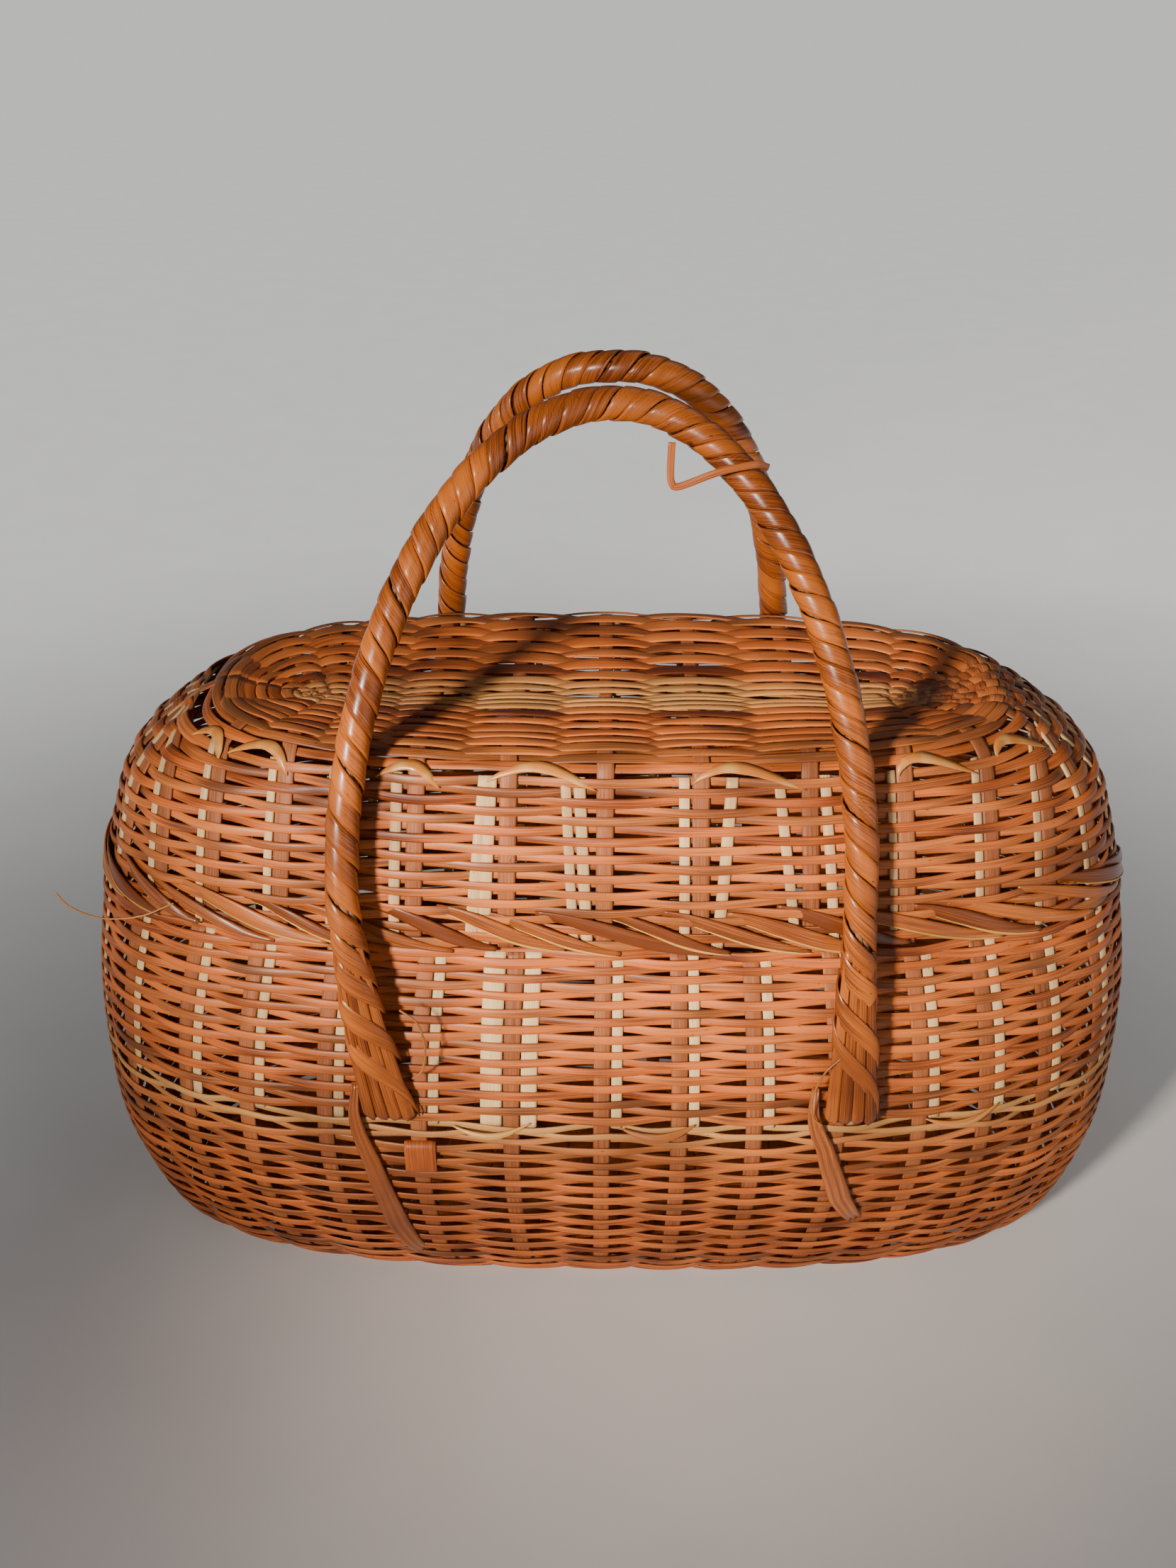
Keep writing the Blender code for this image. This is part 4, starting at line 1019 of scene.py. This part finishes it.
RIBBED_SECTION = np.concatenate([np.stack([rib_across, rib_out], axis=1), [(0.5, 0.0), (-0.5, 0.0)]])


def through(points, count):
    """Smooth line through a few points, its steps shared out by their spacing."""
    runs = run_along(points)
    places = np.interp(np.linspace(0, 1, count), runs / runs[-1], np.arange(len(points)))
    return curve_through(np.array(points), places)


def laid_strip(points, out, width, thickness, section=SPLINT_SECTION):
    """Corners of one strip along a line, with its flat side square to an outward direction."""
    line = unit(np.gradient(points, axis=0))
    across = unit(np.cross(np.broadcast_to(out, points.shape), line))
    return splints(points[None], across[None], np.cross(line, across)[None], width, thickness, section)


tie_splint = splint_material("ribbed_tie", (0.13, 0.026, 0.005), (0.50, 0.145, 0.032), (0.66, 0.4, 0.16),
                             0.3, 0.35, 1.4, bump=0.4)


def on_body(x, height, out):
    """Place on the body's front, standing out from it: y = -b (1 - |x/a|^n)^(1/n) - out."""
    a, b, _ = read_at(height, body_outline[:, 2], body_outline).T
    y = b * (1 - np.minimum(np.abs(x / a), 1) ** OVAL_EXPONENT) ** (1 / OVAL_EXPONENT)
    return np.stack([x + 0 * height, -y - out, height + 0 * x], axis=-1)


for side, facing in (("front", 1), ("rear", -1)):
    for label in ("left", "right"):
        tie_low, tie_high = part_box(f"{side}_{label}_tie")
        low_x, high_x = (tie_low.x, tie_high.x) if facing > 0 else (-tie_high.x, -tie_low.x)
        t = np.linspace(0, 1, TIE_STEPS)
        places = (*(low_x + offset for offset in TIE_FROM_LEFT), high_x - TIE_FROM_RIGHT)
        x = through(list(zip(TIE_SHARES, places)), TIE_STEPS)[:, 1]
        height = np.linspace(tie_high.z + TIE_RISE, tie_low.z + TIE_END_LIFT, TIE_STEPS)
        out = np.interp(t, TIE_OUT_SHARES, TIE_OUTS)
        drawn = on_body(x, height, out) * (facing, facing, 1)
        width = np.interp(t, np.linspace(0, 1, len(TIE_WIDTHS)), TIE_WIDTHS)
        corners = laid_strip(drawn, (0, -facing, 0), width, TIE_THICKNESS, RIBBED_SECTION)
        tie = strip_mesh(f"{side}_{label}_tie_strap", corners, False, TIE_TONE, 0.0, tie_splint)
        fit_piece(tie, "basket", "brown_splint", f"{side}_{label}_tie")

# The clip beside the left front foot: a short splint folded over the pale row, its top bent back in.
# Its fold is drawn by shares of its height and how far it stands out.
CLIP_FOLD = ((-0.1, -0.0006), (0.12, 0.0012), (0.5, 0.0016), (0.9, 0.0021), (1.06, 0.0017),
             (1.12, 0.0002), (1.05, -0.0012))
CLIP_STEPS = 24
CLIP_WIDTH_SHARE = 1.12
CLIP_THICKNESS = 0.0006
CLIP_TONE = 0.4
clip_low, clip_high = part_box("foot_clip")
shares, outs = np.array(CLIP_FOLD).T
heights = clip_low.z + shares * (clip_high.z - clip_low.z)
drawn = through(on_body((clip_low.x + clip_high.x) / 2, heights, outs), CLIP_STEPS)
across = np.broadcast_to((-1.0, 0.0, 0.0), drawn.shape)
face = np.cross(unit(np.gradient(drawn, axis=0)), across)
corners = splints(drawn[None], across[None], face[None], (clip_high.x - clip_low.x) * CLIP_WIDTH_SHARE,
                  CLIP_THICKNESS)
clip = strip_mesh("foot_clip_splint", corners, False, CLIP_TONE, 0.0, weaver_splint)
fit_piece(clip, "basket", "brown_splint", "foot_clip")

# The tuck ends: pointed splint ends that arch up over the lid's shoulder like crescents, orange above
# and raw on the underside.
TUCK_STEPS = 26
TUCK_LENGTH_SHARES = (0.9, 1.15, 0.95, 1.5, 1.5, 1.1, 0.95)
TUCK_RISE = 0.0062
TUCK_SLOPE = 0.22
TUCK_CLEAR = 0.0016
TUCK_SEAT = 0.0004
TUCK_DROP = 0.003
TUCK_ARCH_POWER = 0.85
TUCK_WIDTH = 0.0048
TUCK_WIDTH_PLACES = (0, 0.15, 0.5, 0.85, 1)
TUCK_WIDTH_SHARES = (0.15, 0.65, 1.0, 0.6, 0.08)
TUCK_THICKNESS = 0.0005
TUCK_LEAN_OUT, TUCK_LEAN_UP = 0.6, 0.8
TUCK_TONE = 0.45
TUCK_PALE = 0.1
TUCK_PALE_WAVE = (0.7, 0.3)
TUCK_SECTION = np.array([(-0.5, 0.0), (-0.5, 0.6), (0.0, 1.0), (0.5, 0.6), (0.5, 0.0)])
tuck_splint = splint_material("raw_tuck", (0.30, 0.08, 0.012), (0.62, 0.23, 0.04), (0.80, 0.50, 0.15),
                              0.35, 0.2, 0.9)
crown = int(np.argmax(lid_outline[:, 2]))
for side, facing in (("front", 1), ("rear", -1)):
    for number, length_share in enumerate(TUCK_LENGTH_SHARES, 1):
        node = f"{side}_tuck_end_{number}"
        low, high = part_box(node)
        run = np.interp((low.z + high.z) / 2, lid_outline[:crown, 2], lid_runs[:crown])
        ring = ring_at(lid_outline, run)
        ring_runs = run_along(ring)
        centre = np.array(((low.x + high.x) / 2, (low.y + high.y) / 2))
        nearest = ring_runs[int(np.argmin(np.linalg.norm(ring[:, :2] - centre, axis=1)))]
        t = np.linspace(0, 1, TUCK_STEPS)
        length = math.hypot(high.x - low.x, high.y - low.y) * length_share
        place = (nearest + (t - 0.5) * length) % ring_runs[-1]
        base = read_at(place, ring_runs, ring)
        arch = np.sin(math.pi * t ** TUCK_ARCH_POWER)
        risen = run - TUCK_DROP + min(TUCK_RISE, TUCK_SLOPE * length) * arch - TUCK_DROP * t
        grown = read_at(risen, lid_runs, lid_outline) / read_at(run, lid_runs, lid_outline)
        lean = np.cross(unit(np.gradient(base, axis=0)), (0.0, 0.0, 1.0)) * TUCK_LEAN_OUT
        lean = lean + (0.0, 0.0, TUCK_LEAN_UP)
        drawn = base * grown + lean * (arch * (TUCK_CLEAR if facing > 0 else 0) + TUCK_SEAT)[:, None]
        width = TUCK_WIDTH * np.interp(t, TUCK_WIDTH_PLACES, TUCK_WIDTH_SHARES)
        corners = laid_strip(drawn, lean, width, TUCK_THICKNESS, TUCK_SECTION)
        pale = np.clip(wavy(t, *TUCK_PALE_WAVE) + TUCK_PALE, 0, 1)
        tuck = strip_mesh(f"{side}_tuck_splint_{number}", corners, False, TUCK_TONE, pale[None], tuck_splint)
        fit_piece(tuck, "lid", "honey_splint", node)

# The hinge lashings at the back: four turns of narrow splint side by side, round the body's rim and
# the lid's border.
LASH_TURNS = 4
LASH_STEPS = 40
LASH_INSET = 0.001
LASH_EDGE = 0.0008
LASH_WIDTH_SHARE = 0.96
LASH_THICKNESS = 0.0009
LASH_TONE = (0.35, 0.1)
LASH_PALE = 0.05
for label in ("left", "right"):
    low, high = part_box(f"{label}_hinge_loop")
    middle = (low + high) / 2
    reach = (high.z - low.z) / 2 - LASH_INSET
    turn = np.linspace(0, 2 * math.pi, LASH_STEPS, endpoint=False)
    out = np.stack([0 * turn, np.cos(turn), np.sin(turn)], axis=1)
    across = np.array((1.0, 0.0, 0.0))
    places = np.linspace(low.x + LASH_EDGE, high.x - LASH_EDGE, LASH_TURNS)[:, None, None]
    rows = (0.0, middle.y, middle.z) + reach * out + across * places
    out, across = (np.broadcast_to(value, rows.shape) for value in (out, across))
    corners = splints(rows, across, out, (high.x - low.x) / LASH_TURNS * LASH_WIDTH_SHARE, LASH_THICKNESS)
    lash = strip_mesh(f"{label}_hinge_lashing", corners[:, :, ::-1], True, flat_tone(LASH_TURNS, *LASH_TONE),
                      LASH_PALE, varnished_splint)
    fit_piece(lash, "basket", "brown_splint", f"{label}_hinge_loop")

# Loose ends: a splint that hangs off the front handle, thin strands by the feet, a hair at the left
# end, and curled splint ends along the pale row. Each has its width and paleness, the loose ones the
# points of their line, and the curls their middle and length.
LOOSE_STEPS = 60
LOOSE_THICKNESS = 0.0005
LOOSE_TONE = 0.35
LOOSE_ENDS = (
    ("handle_strip", "front_handle", "honey_splint", 0.0026, 0.0, (
        (0.0535, -0.046, 0.3462), (0.0485, -0.051, 0.3485), (0.036, -0.0525, 0.3462),
        (0.0225, -0.053, 0.3412), (0.0198, -0.053, 0.3422), (0.0192, -0.0525, 0.3465),
        (0.0195, -0.052, 0.3565))),
    ("left_foot_strand", "front_handle", "honey_splint", 0.0008, 0.3, (
        (-0.078, -0.104, 0.157), (-0.0715, -0.1055, 0.152), (-0.069, -0.106, 0.142),
        (-0.0705, -0.1055, 0.131), (-0.0745, -0.104, 0.126))),
    ("right_foot_strand", "front_handle", "honey_splint", 0.0008, 0.2, (
        (0.0865, -0.104, 0.137), (0.0805, -0.1055, 0.131), (0.0765, -0.106, 0.12),
        (0.0775, -0.105, 0.1105), (0.0815, -0.103, 0.105))),
    ("end_hair", "lid", "pale_splint", 0.0006, 0.5, (
        (-0.168, -0.067, 0.18), (-0.182, -0.066, 0.1735), (-0.197, -0.066, 0.1725),
        (-0.208, -0.067, 0.178), (-0.2125, -0.068, 0.185))))
CURL_STEPS = 24
CURL_THICKNESS = 0.0006
CURL_TONE = 0.45
CURL_LIFT, CURL_SAG, CURL_SLOPE = 0.0015, 0.0035, 0.002
CURL_OUT, CURL_ARCH = 0.001, 0.0025
CURL_END_WIDTH = 0.15
ROW_CURLS = ((-0.0455, 0.03, 0.0026, 0.8), (0.019, 0.028, 0.0036, 0.15), (0.138, 0.03, 0.003, 0.3))
for name, body, slot, width, pale, points in LOOSE_ENDS:
    corners = laid_strip(through(points, LOOSE_STEPS), (0.0, -1.0, 0.15), width, LOOSE_THICKNESS)
    fit_piece(strip_mesh(name, corners, False, LOOSE_TONE, pale, varnished_splint), body, slot)
for number, (middle, length, width, pale) in enumerate(ROW_CURLS, 1):
    t = np.linspace(0, 1, CURL_STEPS)
    arch = np.sin(math.pi * t)
    height = PALE_ROW_HEIGHT + CURL_LIFT - CURL_SAG * arch + CURL_SLOPE * t
    drawn = on_body(middle + (t - 0.5) * length, height, CURL_OUT + CURL_ARCH * arch)
    width = width * (CURL_END_WIDTH + (1 - CURL_END_WIDTH) * arch)
    corners = laid_strip(drawn, (0, -1, 0.5), width, CURL_THICKNESS)
    curl = strip_mesh(f"pale_row_curl_{number}", corners, False, CURL_TONE, pale, varnished_splint)
    fit_piece(curl, "basket", "pale_splint")
